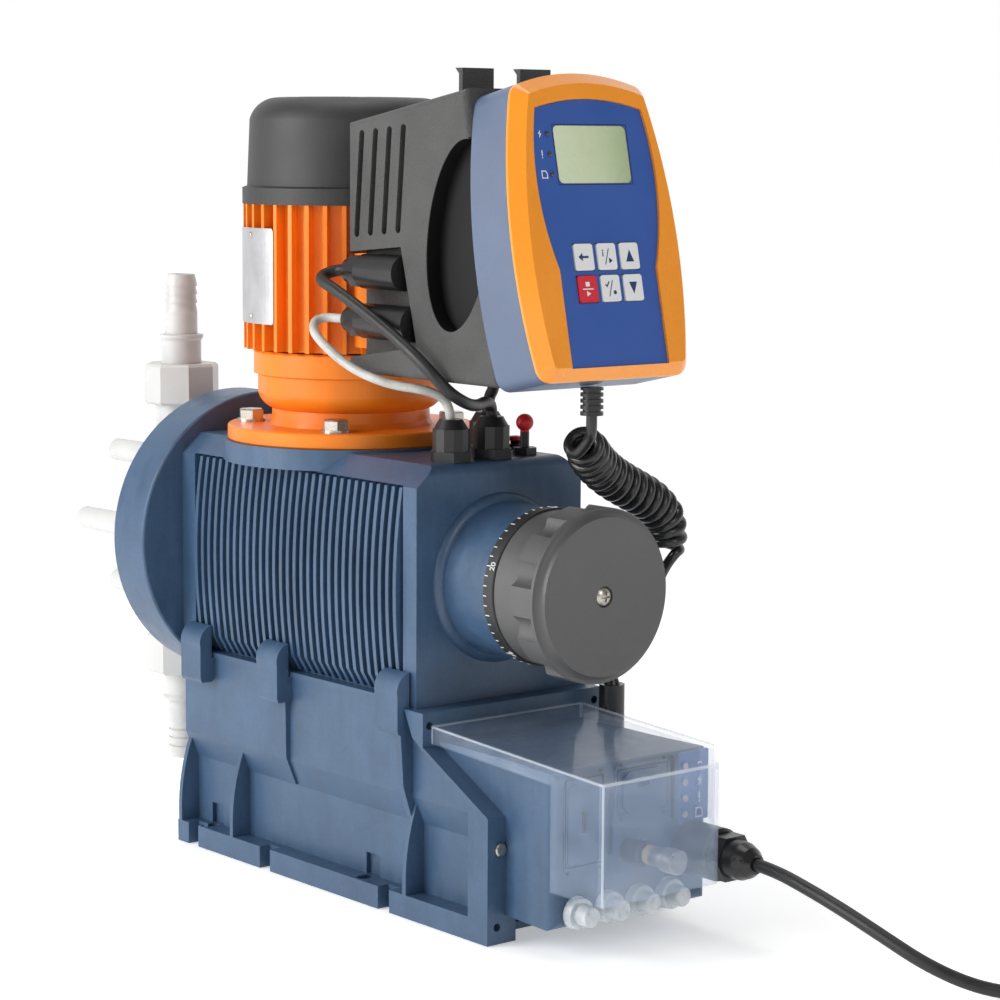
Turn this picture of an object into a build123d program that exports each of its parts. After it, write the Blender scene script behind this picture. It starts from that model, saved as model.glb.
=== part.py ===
from build123d import *
from math import cos, sin, tan, radians, pi
import os

os.makedirs("parts", exist_ok=True)

# Motor-driven diaphragm metering pump, in millimetres.
# +Z is up, the stroke knob and the keypad look along -Y, the dosing head looks along +Y.
# The origin is the centre of the base footprint, on its underside.

# Shared axes and clearances
stroke_z = 178.0            # height of the stroke axis, which runs along Y at x = 0
motor_y = 54.0              # the motor axis is vertical, at x = 0
run_gap = 0.05              # radial clearance of a turning or sliding fit
part_gap = 0.3              # clearance between pieces that move past each other
seat_gap = 0.1              # clearance of a piece dropped into its pocket

# Base foot
foot_half = 62.0
foot_high = 12.5
foot_rear = 142.0
foot_front = -130.0
low_wall_half = 50.0
up_wall_half = 56.0
band_low = 50.0
band_high = 65.0
base_top = 113.0
base_floor = 4.0
base_wall = 5.0
deck_thick = 6.0
rib_thick = 3.0
rib_ys = (139.5, 86.5, -76.0)
notch_ys = (125.8, 53.0, -58.0)
notch_wide = 10.0
notch_deep = 7.0
bolt_ys = (117.5, -33.0)
bolt_x = 55.0
bolt_slot_r = 3.5
bolt_slot_long = 11.0
window_wide = 12.0
window_high = 12.0
window_deep = 2.6
claw_ys = (121.0, 44.5, -65.5)
claw_wide = 20.0
claw_low = 99.0
claw_top = 132.0
claw_out = 66.0
claw_in = 58.2

# Parting line between base and terminal box, as (y, z) points from the top down
part_top_y = -76.0
part_knee_y = -83.0
part_knee_z = 99.0
part_low_y = -130.0
part_low_z = 67.0

# Terminal box
box_flange = 16.0
box_front = -187.0
box_half_rear = 50.5
box_half_front = 54.0
box_low = 15.0
box_rear_top = 97.0
box_front_top = 96.0
box_wall = 3.5
box_edge_r = 5.0
foot_pad_in = 43.0
foot_arch_z = 11.0
lug_hole_r = 2.2

# Gear housing
gear_half = 57.0
gear_front = -80.0
gear_rear = 142.0
gear_shoulder = 230.0
gear_top = 241.0
gear_top_half = 44.0
gear_wall = 9.0
gear_floor = 6.0
fin_count = 30
fin_pitch = 6.5
fin_thick = 2.7
fin_first_y = -66.0
fin_root = 49.5
fin_out_mid = 60.0
fin_out_top = 55.5
fin_out_low = 56.8
fin_top = 229.0
fin_low = 117.0
deck_r = 72.5
deck_rise = 1.5
deck_low = 231.0
motor_spigot_r = 40.0
boss_r = 41.5
boss_front = -116.0
boss_root_r = 46.0
spindle_bush_r = 15.0

# Head disc
disc_r = 84.5
disc_thick = 32.0
disc_bore_r = 43.0
disc_edge = 1.5

# Dosing head
head_r = 47.0
head_neck_r = 36.0
head_bolt_circle_r = 47.0
head_bolt_count = 6
head_boss_r = 7.6
head_boss_deep = 97.0
head_screw_r = 3.0
chamber_r = 31.0
chamber_deep = 14.0
valve_y = 229.0
valve_neck_r = 16.0
valve_neck_top = 71.0
valve_bore_r = 9.0
passage_r = 4.0
cross_r = 5.0

# Valves, by height above or below the stroke axis
valve_seat = 50.0
valve_body_r = 8.9
valve_flange_r = 15.0
ball_r = 5.5
ball_cage_r = 6.0
ball_lift = 3.0
cage_long = 20.0
cage_drop = 6.0
cage_floor = 4.0
nut_low = 71.0
nut_high = 96.0
nut_r = 23.0
nut_lip = 5.0
nozzle_r = 10.0
nozzle_mouth_r = 8.6
nozzle_bore_r = 5.5
nozzle_end = 150.5
nozzle_body_r = 12.2
nozzle_collar = 112.0
nozzle_collar_r = 13.5
barb_count = 4
barb_pitch = 5.2
barb_deep = 1.0

# Diaphragm drive
rod_r = 9.0
rod_stroke = 4.0
diaphragm_r = 30.6
diaphragm_crown = 3.5
chamber_crown = 3.0
wheel_y = 16.0
wheel_r = 30.0
wheel_wide = 12.0
worm_r = 7.7
worm_long = 44.0
cam_r = 14.0
cam_throw = 2.0
cam_x = 18.0
cam_wide = 7.0
cam_shaft_r = 7.0
cam_shaft_half = 44.0
cam_bearing_in = 31.5
yoke_x = 24.5
yoke_thick = 5.0
yoke_high = 22.0
yoke_front = -36.0
yoke_rear = 78.0
yoke_bar = 7.0

# Stroke knob
sleeve_r = 41.0
dial_r = 42.0
dial_thick = 8.0
sleeve_end = -143.0
grip_r = 46.0
grip_front = -165.5
grip_edge = 4.5
knob_wall = 5.0
knob_face = 6.0
scallop_count = 10
scallop_r = 8.0
scallop_deep = 4.2
scallop_end = -159.0
face_dish = 1.2
hub_r = 12.0
spindle_r = 6.0
screw_head_r = 5.4
screw_head_rise = 2.6
screw_seat = 2.4
screw_tip = 11.0
screw_r = 2.5
spindle_room = 12.0

# Motor
flange_r = 70.0
flange_low = 242.5
flange_high = 251.0
flange_circle_r = 57.5
flange_hole_r = 4.5
bolt_r = 4.0
bolt_af = 13.0
bolt_head = 5.5
washer_r = 8.0
washer_thick = 1.6
neck_r = 45.0
neck_top = 260.0
bell_r = 52.7
bell_low = 265.0
bell_top = 279.0
ring_r = 55.0
ring_top = 293.0
stator_r = 54.0
stator_fin_r = 60.6
stator_low = 294.0
stator_top = 375.0
stator_fins = 36
stator_fin_thick = 2.4
stator_bore_r = 31.0
plate_angle = 232.0
cowl_rim_r = 61.0
cowl_rim_top = 385.0
cowl_r = 57.7
cowl_top = 434.0
cowl_edge_r = 12.0
cowl_wall = 2.5
shaft_r = 7.0
rotor_r = 30.5
fan_r = 47.0
fan_blades = 8

# Drive electronics housing on the motor
conv_half = 50.0
conv_rear = -10.0
conv_rear_top = 420.0
conv_front_top = 437.0
conv_low = 286.0
conv_wall_r = 4.0
seam_top_y = -110.0
seam_low_y = -138.0
notch_x = 37.0
notch_points = ((-9.0, 294.0), (-9.0, 351.0), (-57.0, 355.0), (-71.0, 303.0))
notch_corner_r = 4.0
vent_count = 4
vent_pitch = 12.0
vent_wide = 4.4
vent_first_y = -21.0
vent_lean = 95.0
vent_low = 359.0
vent_top = 416.0
vent_deep = 3.0
grip_deep = 9.0
grip_y = -105.0
grip_z = 362.0
grip_lean = 100.0
grip_half_long = 50.0
grip_half_wide = 25.0
plug_x = -47.0
plug_z_high = 341.0
plug_z_low = 314.5
plug_r = 9.4
plug_end = -9.0
plug_grip_y = -23.0
plug_hex_long = 8.0
high_wall_y = -57.0
low_wall_y = -65.0

# Control unit, on a plane that leans back
unit_tilt = 12.0
unit_front_y = -177.0
unit_low = 292.0
unit_bottom_half = 49.5
unit_mid_half = 56.0
unit_top_half = 44.0
unit_side_mid = 62.0
unit_side_top = 150.0
unit_crown = 157.5
unit_corner_r = 9.0
unit_reach = 60.0
front_shell = 8.0
front_bevel = 6.5
panel_thick = 1.2
panel_low_half = 33.0
panel_low_v = 6.0
panel_waist_v = 56.0
panel_belly_half = 40.5
panel_belly_v = 106.0
panel_top_half = 36.0
panel_top_v = 138.0
panel_crown_v = 143.0
panel_drop = 1.4
key_pitch_x = 15.4
key_pitch_y = 16.3
key_wide = 12.6
key_high = 13.6
key_row_v = 45.8
key_travel = 1.0
key_rise = 0.8
key_deep = 2.4
lcd_low_v = 99.8
lcd_high_v = 129.5
lcd_half = 24.5
led_r = 1.5
led_rise = 0.4
led_x = -28.7
led_vs = (104.4, 114.7, 125.0)
tab_x = 19.5
tab_wide = 21.0
tab_thick = 3.0
tab_y = -82.0
tab_top = 448.0
tab_low = 424.0
tab_pivot_z = 425.5
tab_room = 8.0
tab_lip = 3.0

# Hood over the plugs
hood_left = -56.5
hood_right = 48.0
hood_rear = -92.3
hood_front = -228.0
hood_corner_x = 22.0
hood_corner_y = -197.0
hood_rear_top = 106.0
hood_front_top = 98.5
hood_low = 36.5
hood_skirt = 9.5
hood_wall = 2.0
hood_travel = 40.0

# Sockets, caps and connectors on the terminal box
cap_xs = (-38.0, -17.0, 4.0, 25.0)
cap_z = 23.0
cap_r = 8.6
cap_nose_r = 5.6
cap_long = 13.0
cap_nose_edge = 1.0
socket_r = 4.6
cap_spigot = 5.0
signal_x = -1.0
signal_z = 50.0
mains_x = 41.0
mains_z = 45.0
mains_body_r = 14.0
mains_body_end = -212.0
mains_gland_end = -237.0
cable_r = 3.4

# Top cable glands and vent plug
gland_xys = ((-23.0, -66.0), (5.0, -66.0), (20.0, -44.0))
gland_hex_af = 20.0
gland_hex_high = 5.5
gland_nut_r = 9.6
gland_dome_high = 5.0
gland_high = 22.5
gland_hole_deep = 8.0
vent_plug_x = 30.0
vent_plug_y = -64.0

# Leads from the electronics housing into the glands
lead_r = 3.2
grey_r = 2.5
power_route = (
    (-47, -9, 341), (-47, -1, 341), (-51.2, 3.2, 339.8), (-57, 3.2, 337.8), (-61, -1, 335.5),
    (-61.5, -14, 331.5), (-60.8, -38, 321.5), (-60.8, -66, 309), (-58.5, -89, 295), (-51.5, -99, 281.8),
    (-36, -95, 274.5), (-19, -83, 271.5), (-6, -74, 272.5), (2.5, -68, 270.5), (5, -66, 266), (5, -66, 256))
signal_route = (
    (-47, -9, 314.5), (-47, 2, 314.5), (-50.5, 9, 315), (-56.5, 11.5, 313), (-61, 6, 307.5), (-62, -6, 300.5),
    (-60, -20, 292.5), (-57, -35, 286.5), (-50, -50, 281.8), (-39, -61, 280), (-28.5, -65.5, 276),
    (-23, -66, 268), (-23, -66, 256))
link_route = ((18, -53, 286), (18, -53, 278), (20, -44, 270), (20, -44, 256))

# Curly cord from the control unit to the terminal box flange
cord_r = 3.0
coil_r = 12.0
boot_y = -153.0
boot_r = 6.0
boot_long = 15.0
boot_groove_count = 4
boot_groove_pitch = 3.2
curl_start_route = ((0, -153, 271), (0, -153, 264), (4, -146, 258), (10, -134, 251.5))
curl_route = (
    (8, -137, 255), (20, -129, 246), (36, -125, 235), (53, -124, 226.5), (71, -123, 218), (84, -121, 205),
    (83, -120, 189))
curl_end_route = (
    (83, -120, 192), (82, -119, 178), (77, -116, 162), (69, -112, 147), (61, -108, 136), (58, -106, 129),
    (58, -106, 120))
cord_plug_x = 58.0
cord_plug_y = -106.0
cord_plug_r = 7.0
cord_plug_top = 117.0

# Mains cable, with the rest of its length coiled on the floor
mains_route = (
    (41, -237, 45), (41, -250, 44.5), (41.5, -272, 40), (43, -296, 33.5), (46, -320, 25), (51, -343, 15.5),
    (61, -364, 8), (76, -380, 4.4), (97, -388, 3.6), (122, -389.5, 3.6), (146, -388.8, 3.6))
mains_coil_x = 150.0
mains_coil_y = -440.0
mains_coil_r = 41.0
coil_half_wide = 13.6
coil_high = 13.6
plug_offset = 52.0
plug_axis_z = 13.0
plug_wide = 36.0
plug_long = 38.0
plug_boot_long = 36.0
plug_cord_z = 10.2
plug_pin_r = 2.4
plug_pin_pitch = 19.0
plug_pin_long = 19.0


def facing_front(y, z=0.0, x=0.0):
    """A plane that looks along -Y."""
    return Plane((x, y, z), x_dir=(1, 0, 0), z_dir=(0, -1, 0))


def facing_rear(y, z=0.0, x=0.0):
    """A plane that looks along +Y."""
    return Plane((x, y, z), x_dir=(-1, 0, 0), z_dir=(0, 1, 0))


def cap_depth(rise, reach, at):
    """How far a spherical cap of this rise and reach has fallen at a radius."""
    ball = (reach ** 2 + rise ** 2) / (2 * rise)
    return ball - (ball ** 2 - at ** 2) ** 0.5


def level(z, x=0.0, y=0.0):
    """A plane that looks up."""
    return Plane((x, y, z), x_dir=(1, 0, 0), z_dir=(0, 0, 1))


stroke_axis = Axis((0, 0, stroke_z), (0, 1, 0))
motor_axis = Axis((0, motor_y, 0), (0, 0, 1))
valve_axis = Axis((0, valve_y, 0), (0, 0, 1))


# ---------------------------------------------------------------- base foot
with BuildPart() as base_foot:
    with BuildSketch(facing_front(foot_rear)):
        with BuildLine():
            Polyline(
                (-foot_half, 0), (foot_half, 0), (foot_half, foot_high), (low_wall_half, foot_high),
                (low_wall_half, band_low), (up_wall_half, band_high), (up_wall_half, base_top),
                (-up_wall_half, base_top), (-up_wall_half, band_high), (-low_wall_half, band_low),
                (-low_wall_half, foot_high), (-foot_half, foot_high), close=True)
        make_face()
    extrude(amount=foot_rear - foot_front)
    # the front follows the parting line
    with BuildSketch(Plane.YZ):
        with BuildLine():
            Polyline(
                (part_low_y - 5, -1), (part_low_y, -1), (part_low_y, part_low_z),
                (part_knee_y, part_knee_z), (part_top_y, base_top), (part_top_y, base_top + 1),
                (part_low_y - 5, base_top + 1), close=True)
        make_face()
    extrude(amount=foot_half + 1, both=True, mode=Mode.SUBTRACT)
    # electronics bay, open towards the terminal box
    with BuildSketch(Plane.YZ):
        with BuildLine():
            Polyline(
                (part_low_y - 1, base_floor), (foot_rear - base_wall, base_floor),
                (foot_rear - base_wall, base_top - deck_thick), (part_top_y - 4, base_top - deck_thick),
                (part_knee_y - 1, part_knee_z), (part_low_y - 1, part_low_z), close=True)
        make_face()
    extrude(amount=low_wall_half - base_wall, both=True, mode=Mode.SUBTRACT)
    # gussets along the foot
    for y in rib_ys:
        for side in (-1, 1):
            with BuildSketch(facing_front(y + rib_thick / 2)):
                with BuildLine():
                    l1 = Line((side * foot_half, foot_high - 1), (side * foot_half, foot_high + 6))
                    l2 = ThreePointArc(
                        l1 @ 1, (side * (foot_half - 2.5), band_low - 6),
                        (side * (up_wall_half - 4), band_high + 2))
                    l3 = Line(l2 @ 1, (side * (low_wall_half - 2), band_low))
                    l4 = Line(l3 @ 1, (side * (low_wall_half - 2), foot_high - 1))
                    Line(l4 @ 1, l1 @ 0)
                make_face()
            extrude(amount=rib_thick)
    # claws that grip the gear housing, the front pair running down as a rib
    for y in claw_ys:
        for side in (-1, 1):
            with BuildSketch(facing_front(y + claw_wide / 2)):
                with BuildLine():
                    l1 = Line((side * (up_wall_half - 1), claw_low + 4), (side * (up_wall_half + 2), claw_low))
                    l2 = Line(l1 @ 1, (side * (claw_out - 1), claw_low))
                    l3 = Line(l2 @ 1, (side * claw_out, claw_low + 2))
                    l4 = Line(l3 @ 1, (side * claw_out, claw_top - 12))
                    l5 = ThreePointArc(
                        l4 @ 1, (side * (claw_out - 1.6), claw_top - 4), (side * claw_in, claw_top))
                    l6 = Line(l5 @ 1, (side * claw_in, base_top))
                    l7 = Line(l6 @ 1, (side * (up_wall_half - 1), base_top))
                    Line(l7 @ 1, l1 @ 0)
                make_face()
            extrude(amount=claw_wide)
    for side in (-1, 1):
        with BuildSketch(facing_front(claw_ys[2] - claw_wide / 2 + 4)):
            with BuildLine():
                Polyline(
                    (side * (low_wall_half - 1), band_low + 2), (side * up_wall_half, band_low + 2),
                    (side * (claw_out - 4), band_high + 6), (side * (claw_out - 2), claw_low + 1),
                    (side * (low_wall_half - 1), claw_low + 1), close=True)
            make_face()
        extrude(amount=4)
        with BuildSketch(facing_front(claw_ys[1] - claw_wide / 2 + 5)):
            with BuildLine():
                Polyline(
                    (side * (low_wall_half - 1), band_low + 1), (side * (low_wall_half + 2), band_low + 1),
                    (side * (up_wall_half + 2.5), band_high + 2), (side * (up_wall_half + 3), claw_low + 1),
                    (side * (low_wall_half - 1), claw_low + 1), close=True)
            make_face()
        extrude(amount=3)
    # notches in the foot edge
    for y in notch_ys:
        for side in (-1, 1):
            with BuildSketch(level(-1, side * foot_half, y)):
                Rectangle(2 * notch_deep, notch_wide)
            extrude(amount=foot_high + 2, mode=Mode.SUBTRACT)
    # slotted bolt holes with a window in the wall above each
    for y in bolt_ys:
        for side in (-1, 1):
            with BuildSketch(level(-1, side * bolt_x, y)):
                SlotOverall(bolt_slot_long, 2 * bolt_slot_r)
            extrude(amount=foot_high + 2, mode=Mode.SUBTRACT)
            with BuildSketch(level(foot_high, side * (low_wall_half + 4), y)):
                Rectangle(2 * (window_deep + 4), window_wide)
            extrude(amount=window_high, mode=Mode.SUBTRACT)
base_foot.part.label = "base_foot"
export_step(base_foot.part, "parts/base_foot.step")

# ------------------------------------------------------------- gear housing
with BuildPart() as gear_housing:
    with BuildSketch(facing_front(gear_rear)):
        with BuildLine():
            Polyline(
                (-gear_half, base_top), (gear_half, base_top), (gear_half, gear_shoulder),
                (gear_top_half, gear_top), (-gear_top_half, gear_top), (-gear_half, gear_shoulder), close=True)
        make_face()
    extrude(amount=gear_rear - gear_front)
    # rounded top edge of the front face
    front_top = gear_housing.edges().filter_by(Axis.X).group_by(Axis.Y)[0].sort_by(Axis.Z)[-1]
    fillet(front_top, radius=6)
    # round deck under the motor flange
    with BuildSketch(level(deck_low, 0, motor_y)):
        Circle(deck_r)
    extrude(amount=gear_top + deck_rise - deck_low)
    # recesses for the cooling fins
    fin_span = (fin_count - 1) * fin_pitch + fin_thick
    for side in (-1, 1):
        with BuildSketch(facing_front(fin_first_y + fin_span + 3.5)):
            with BuildLine():
                Polyline(
                    (side * fin_root, fin_low - 1), (side * (gear_half + 1), fin_low - 1),
                    (side * (gear_half + 1), fin_top + 1.5), (side * fin_root, fin_top + 1.5), close=True)
            make_face()
        extrude(amount=fin_span + 6, mode=Mode.SUBTRACT)
    # fins, bulging outward in the middle
    fin_planes = [facing_front(fin_first_y + i * fin_pitch + fin_thick) for i in range(fin_count)]
    for side in (-1, 1):
        with BuildSketch(*fin_planes):
            with BuildLine():
                l1 = Line((side * (fin_root - 1), fin_low), (side * (fin_root + 2), fin_low))
                l2 = Line(l1 @ 1, (side * fin_out_low, fin_low + 9))
                l3 = ThreePointArc(
                    l2 @ 1, (side * fin_out_mid, (fin_low + fin_top) / 2), (side * fin_out_top, fin_top))
                l4 = Line(l3 @ 1, (side * (fin_root - 1), fin_top + 2))
                Line(l4 @ 1, l1 @ 0)
            make_face()
        extrude(amount=fin_thick)
    # boss for the stroke adjustment
    with BuildSketch(Plane.YZ):
        with BuildLine():
            l1 = Line((gear_front + 1, stroke_z), (gear_front + 1, stroke_z + boss_root_r))
            l2 = Line(l1 @ 1, (gear_front, stroke_z + boss_root_r))
            l3 = RadiusArc(l2 @ 1, (gear_front - 4, stroke_z + boss_r), -5)
            l4 = Line(l3 @ 1, (boss_front, stroke_z + boss_r - 0.6))
            l5 = Line(l4 @ 1, (boss_front, stroke_z))
            Line(l5 @ 1, l1 @ 0)
        make_face()
    revolve(axis=stroke_axis)
    # gear chamber
    chamber_half = fin_root - 4.5
    with BuildSketch(level(base_top + gear_floor, 0, (gear_front + gear_rear) / 2)):
        Rectangle(2 * chamber_half, gear_rear - gear_front - 2 * gear_wall)
    extrude(amount=gear_top - gear_wall - 1 - base_top - gear_floor, mode=Mode.SUBTRACT)
    # openings for motor spigot, spindle and push rod
    with BuildSketch(level(gear_top - gear_wall - 2, 0, motor_y)):
        Circle(motor_spigot_r)
    extrude(amount=gear_wall + 6, mode=Mode.SUBTRACT)
    with BuildSketch(facing_front(gear_front + gear_wall + 1, stroke_z)):
        Circle(spindle_r + run_gap)
    extrude(amount=gear_front + gear_wall + 2 - boss_front, mode=Mode.SUBTRACT)
    with BuildSketch(facing_front(boss_front + 20, stroke_z)):
        Circle(boss_r - 6)
        Circle(spindle_bush_r, mode=Mode.SUBTRACT)
    extrude(amount=21, mode=Mode.SUBTRACT)
    with BuildSketch(facing_rear(gear_rear - gear_wall - 1, stroke_z)):
        Circle(rod_r + run_gap)
    extrude(amount=gear_wall + 2, mode=Mode.SUBTRACT)
    # threaded holes for the motor flange
    with BuildSketch(level(deck_low, 0, motor_y)):
        with PolarLocations(flange_circle_r, 4, start_angle=45):
            Circle(bolt_r + seat_gap / 2)
    extrude(amount=gear_top + deck_rise + 1 - deck_low, mode=Mode.SUBTRACT)
gear_housing.part.label = "gear_housing"
export_step(gear_housing.part, "parts/gear_housing.step")

# -------------------------------------------------------------- terminal box
with BuildPart() as terminal_box:
    # flange on the parting line
    with BuildSketch(Plane.YZ):
        with BuildLine():
            Polyline(
                (part_top_y, base_top), (part_knee_y, part_knee_z), (part_low_y, part_low_z),
                (part_low_y, 0), (part_low_y - box_flange, 0), (part_low_y - box_flange, part_low_z),
                (part_top_y - box_flange, box_rear_top - 2), (part_top_y - box_flange, base_top), close=True)
        make_face()
    extrude(amount=foot_half, both=True)
    # box body, a little wider at its front
    with BuildSketch(level(box_low)):
        with BuildLine():
            Polyline(
                (-box_half_rear, part_top_y - 8), (-box_half_rear, part_low_y - box_flange),
                (-box_half_front, box_front), (box_half_front, box_front),
                (box_half_rear, part_low_y - box_flange), (box_half_rear, part_top_y - 8), close=True)
        make_face()
    extrude(amount=base_top - box_low)
    # slope of the top and the parting line cut the whole
    with BuildSketch(Plane.YZ):
        with BuildLine():
            Polyline(
                (part_top_y - box_flange, base_top + 1), (part_top_y - box_flange, box_rear_top),
                (box_front - 1, box_front_top), (box_front - 1, base_top + 1), close=True)
        make_face()
    extrude(amount=foot_half + 1, both=True, mode=Mode.SUBTRACT)
    with BuildSketch(Plane.YZ):
        with BuildLine():
            Polyline(
                (part_top_y, base_top + 1), (part_top_y, base_top), (part_knee_y, part_knee_z),
                (part_low_y, part_low_z), (part_low_y, -1), (part_top_y + 6, -1), (part_top_y + 6, base_top + 1),
                close=True)
        make_face()
    extrude(amount=foot_half + 1, both=True, mode=Mode.SUBTRACT)
    front_edges = terminal_box.faces().sort_by(Axis.Y)[0].edges()
    fillet(front_edges, radius=box_edge_r)
    # hollow from the parting line
    with BuildSketch(Plane.YZ):
        with BuildLine():
            Polyline(
                (part_top_y - 4, base_top - deck_thick), (part_top_y - box_flange + 4, base_top - deck_thick),
                (part_top_y - box_flange, box_rear_top - box_wall),
                (box_front + box_wall, box_front_top - box_wall), (box_front + box_wall, box_low + box_wall),
                (part_low_y - box_flange, box_low + box_wall), (part_low_y + 1, box_low + box_wall),
                (part_low_y + 1, part_low_z), (part_knee_y + 1, part_knee_z), close=True)
        make_face()
    extrude(amount=low_wall_half - base_wall, both=True, mode=Mode.SUBTRACT)
    # arch between the two foot pads
    with BuildSketch(facing_front(part_low_y + 1)):
        with Locations((0, (foot_arch_z - 1) / 2)):
            Rectangle(2 * foot_pad_in, foot_arch_z + 1)
    extrude(amount=box_flange + 2, mode=Mode.SUBTRACT)
    # screw holes of the flange
    screw_points = [(-54.3, 50.0), (54.3, 50.0), (-55.5, 9.0), (55.5, 9.0)]
    screw_points += [(-57.5, 106.0), (57.5, 106.0)]
    with BuildSketch(facing_front(part_top_y + 1)):
        with Locations(*screw_points):
            Circle(lug_hole_r)
    extrude(amount=part_top_y + 2 - part_low_y + box_flange, mode=Mode.SUBTRACT)
    # recessed fields of the front
    with BuildSketch(facing_front(box_front + 1.2)):
        with Locations((-33.5, 68)):
            RectangleRounded(26, 48, 3)
        with Locations((6.5, 80)):
            RectangleRounded(38, 29, 3)
        with Locations((43, 77)):
            RectangleRounded(22, 37.5, 1)
    extrude(amount=3, mode=Mode.SUBTRACT)
    with BuildSketch(facing_front(box_front + 2.5)):
        with Locations((-14.6, 66), (27.9, 78)):
            SlotOverall(34, 3.4, rotation=90)
    extrude(amount=4, mode=Mode.SUBTRACT)
    # sockets
    with BuildSketch(facing_front(box_front + box_wall + 1)):
        with Locations(*[(x, cap_z) for x in cap_xs]):
            Circle(socket_r)
        with Locations((signal_x, signal_z)):
            Circle(5.0)
        with Locations((mains_x, mains_z)):
            Circle(10.0)
    extrude(amount=box_wall + 3, mode=Mode.SUBTRACT)
terminal_box.part.label = "terminal_box"
export_step(terminal_box.part, "parts/terminal_box.step")

with BuildPart() as cover_screws:
    with BuildSketch(facing_front(part_low_y)):
        with Locations(*screw_points[:2]):
            Circle(lug_hole_r - seat_gap)
    extrude(amount=box_flange)
    with BuildSketch(facing_front(part_low_y - box_flange)):
        with Locations(*screw_points[:2]):
            Circle(3.6)
    extrude(amount=2.2)
    chamfer(cover_screws.faces().sort_by(Axis.Y)[0:2].edges(), length=0.7)
cover_screws.part.label = "cover_screws"
export_step(cover_screws.part, "parts/cover_screws.step")

with BuildPart() as access_covers:
    with BuildSketch(facing_front(box_front + 1.2)):
        with Locations((-33.5, 68)):
            RectangleRounded(26 - 2 * seat_gap, 48 - 2 * seat_gap, 3)
    extrude(amount=1.6)
    with BuildSketch(facing_front(box_front - 0.1)):
        with Locations((-33.5, 68)):
            RectangleRounded(21.5, 43, 4)
            RectangleRounded(20.5, 42, 3.6, mode=Mode.SUBTRACT)
        with Locations((-31.5, 68)):
            SlotOverall(11, 2.4, rotation=90)
    extrude(amount=1, mode=Mode.SUBTRACT)
    with BuildSketch(facing_front(box_front + 1.2)):
        with Locations((6.5, 80)):
            RectangleRounded(38 - 2 * seat_gap, 29 - 2 * seat_gap, 3)
    extrude(amount=1.6)
    with BuildSketch(facing_front(box_front - 0.4, 80, 6.5)) as octagon:
        Rectangle(28, 22)
        chamfer(octagon.vertices(), length=4)
    extrude(amount=1.2)
    with BuildSketch(facing_front(box_front - 0.5)):
        with Locations((6.5, 83.5)):
            SlotOverall(8, 2.4)
    extrude(amount=1.5, mode=Mode.SUBTRACT)
    with BuildSketch(facing_front(box_front + 1.2)):
        with Locations((43, 77)):
            RectangleRounded(22 - 2 * seat_gap, 37.5 - 2 * seat_gap, 1)
    extrude(amount=1.0)
    with BuildSketch(facing_front(box_front + 0.2)):
        with GridLocations(0, 8.2, 1, 4):
            with Locations((36.5, 77)):
                Circle(2)
    extrude(amount=0.6)
access_covers.part.label = "access_covers"
export_step(access_covers.part, "parts/access_covers.step")

# ------------------------------------------------------------------- hood
slope = (hood_rear_top - hood_front_top) / (hood_rear - hood_front)
with BuildPart() as hood:
    with BuildSketch(level(hood_low)):
        with BuildLine():
            Polyline(
                (hood_left, hood_rear), (hood_left, hood_front), (hood_corner_x, hood_front),
                (hood_right, hood_corner_y), (hood_right, hood_rear), close=True)
        make_face()
    extrude(amount=hood_rear_top - hood_low)
    with BuildSketch(Plane.YZ):
        with BuildLine():
            Polyline(
                (hood_rear, hood_rear_top), (hood_front - 1, hood_front_top - slope),
                (hood_front - 1, hood_rear_top + 1), (hood_rear, hood_rear_top + 1), close=True)
        make_face()
    extrude(amount=80, both=True, mode=Mode.SUBTRACT)
    upright = hood.edges().filter_by(Axis.Z).group_by(Axis.Y)[0]
    fillet(upright, radius=2.5)
    with BuildSketch(level(hood_low - 1)):
        with BuildLine():
            Polyline(
                (hood_left + hood_wall, hood_rear + 1), (hood_left + hood_wall, hood_front + hood_wall),
                (hood_corner_x - hood_wall / 2, hood_front + hood_wall),
                (hood_right - hood_wall, hood_corner_y + hood_wall / 2), (hood_right - hood_wall, hood_rear + 1),
                close=True)
        make_face()
    extrude(amount=hood_front_top - hood_wall + 1 - hood_low, mode=Mode.SUBTRACT)
    with BuildSketch(Plane.YZ.offset(hood_left + hood_wall)):
        with BuildLine():
            Polyline(
                (hood_rear + 1, hood_front_top - hood_wall - 1), (hood_rear + 1, hood_rear_top - hood_wall),
                (hood_front + hood_wall, hood_front_top - hood_wall),
                (hood_front + hood_wall, hood_front_top - hood_wall - 1), close=True)
        make_face()
    extrude(amount=hood_right - hood_left - 2 * hood_wall, mode=Mode.SUBTRACT)
    # behind the box front only a skirt is left
    with BuildSketch(Plane.YZ):
        with BuildLine():
            Polyline(
                (hood_rear + 1, hood_low - 1), (hood_rear + 1, hood_rear_top - hood_skirt),
                (box_front - 1.5, hood_front_top + slope * (box_front - hood_front) - hood_skirt),
                (box_front - 1.5, hood_low - 1), close=True)
        make_face()
    extrude(amount=80, both=True, mode=Mode.SUBTRACT)
    with BuildSketch(facing_front(hood_rear + 1)):
        with Locations((hood_right / 2, (hood_low + box_rear_top) / 2)):
            Rectangle(hood_right + 2, box_rear_top + 1.2 - hood_low)
    extrude(amount=hood_rear + 1 - box_front + 1.5, mode=Mode.SUBTRACT)
    # way out for the mains connector and its cable
    with BuildSketch(level(hood_low - 1)):
        with BuildLine():
            Polyline(
                (mains_x - mains_body_r - 2, hood_front - 1), (hood_right + 1, hood_front - 1),
                (hood_right + 1, box_front + 1), (mains_x - mains_body_r - 2, box_front + 1), close=True)
        make_face()
    extrude(amount=mains_z + mains_body_r + 3 - hood_low, mode=Mode.SUBTRACT)
hood.part.label = "hood"
export_step(hood.part, "parts/hood.step")

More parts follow.
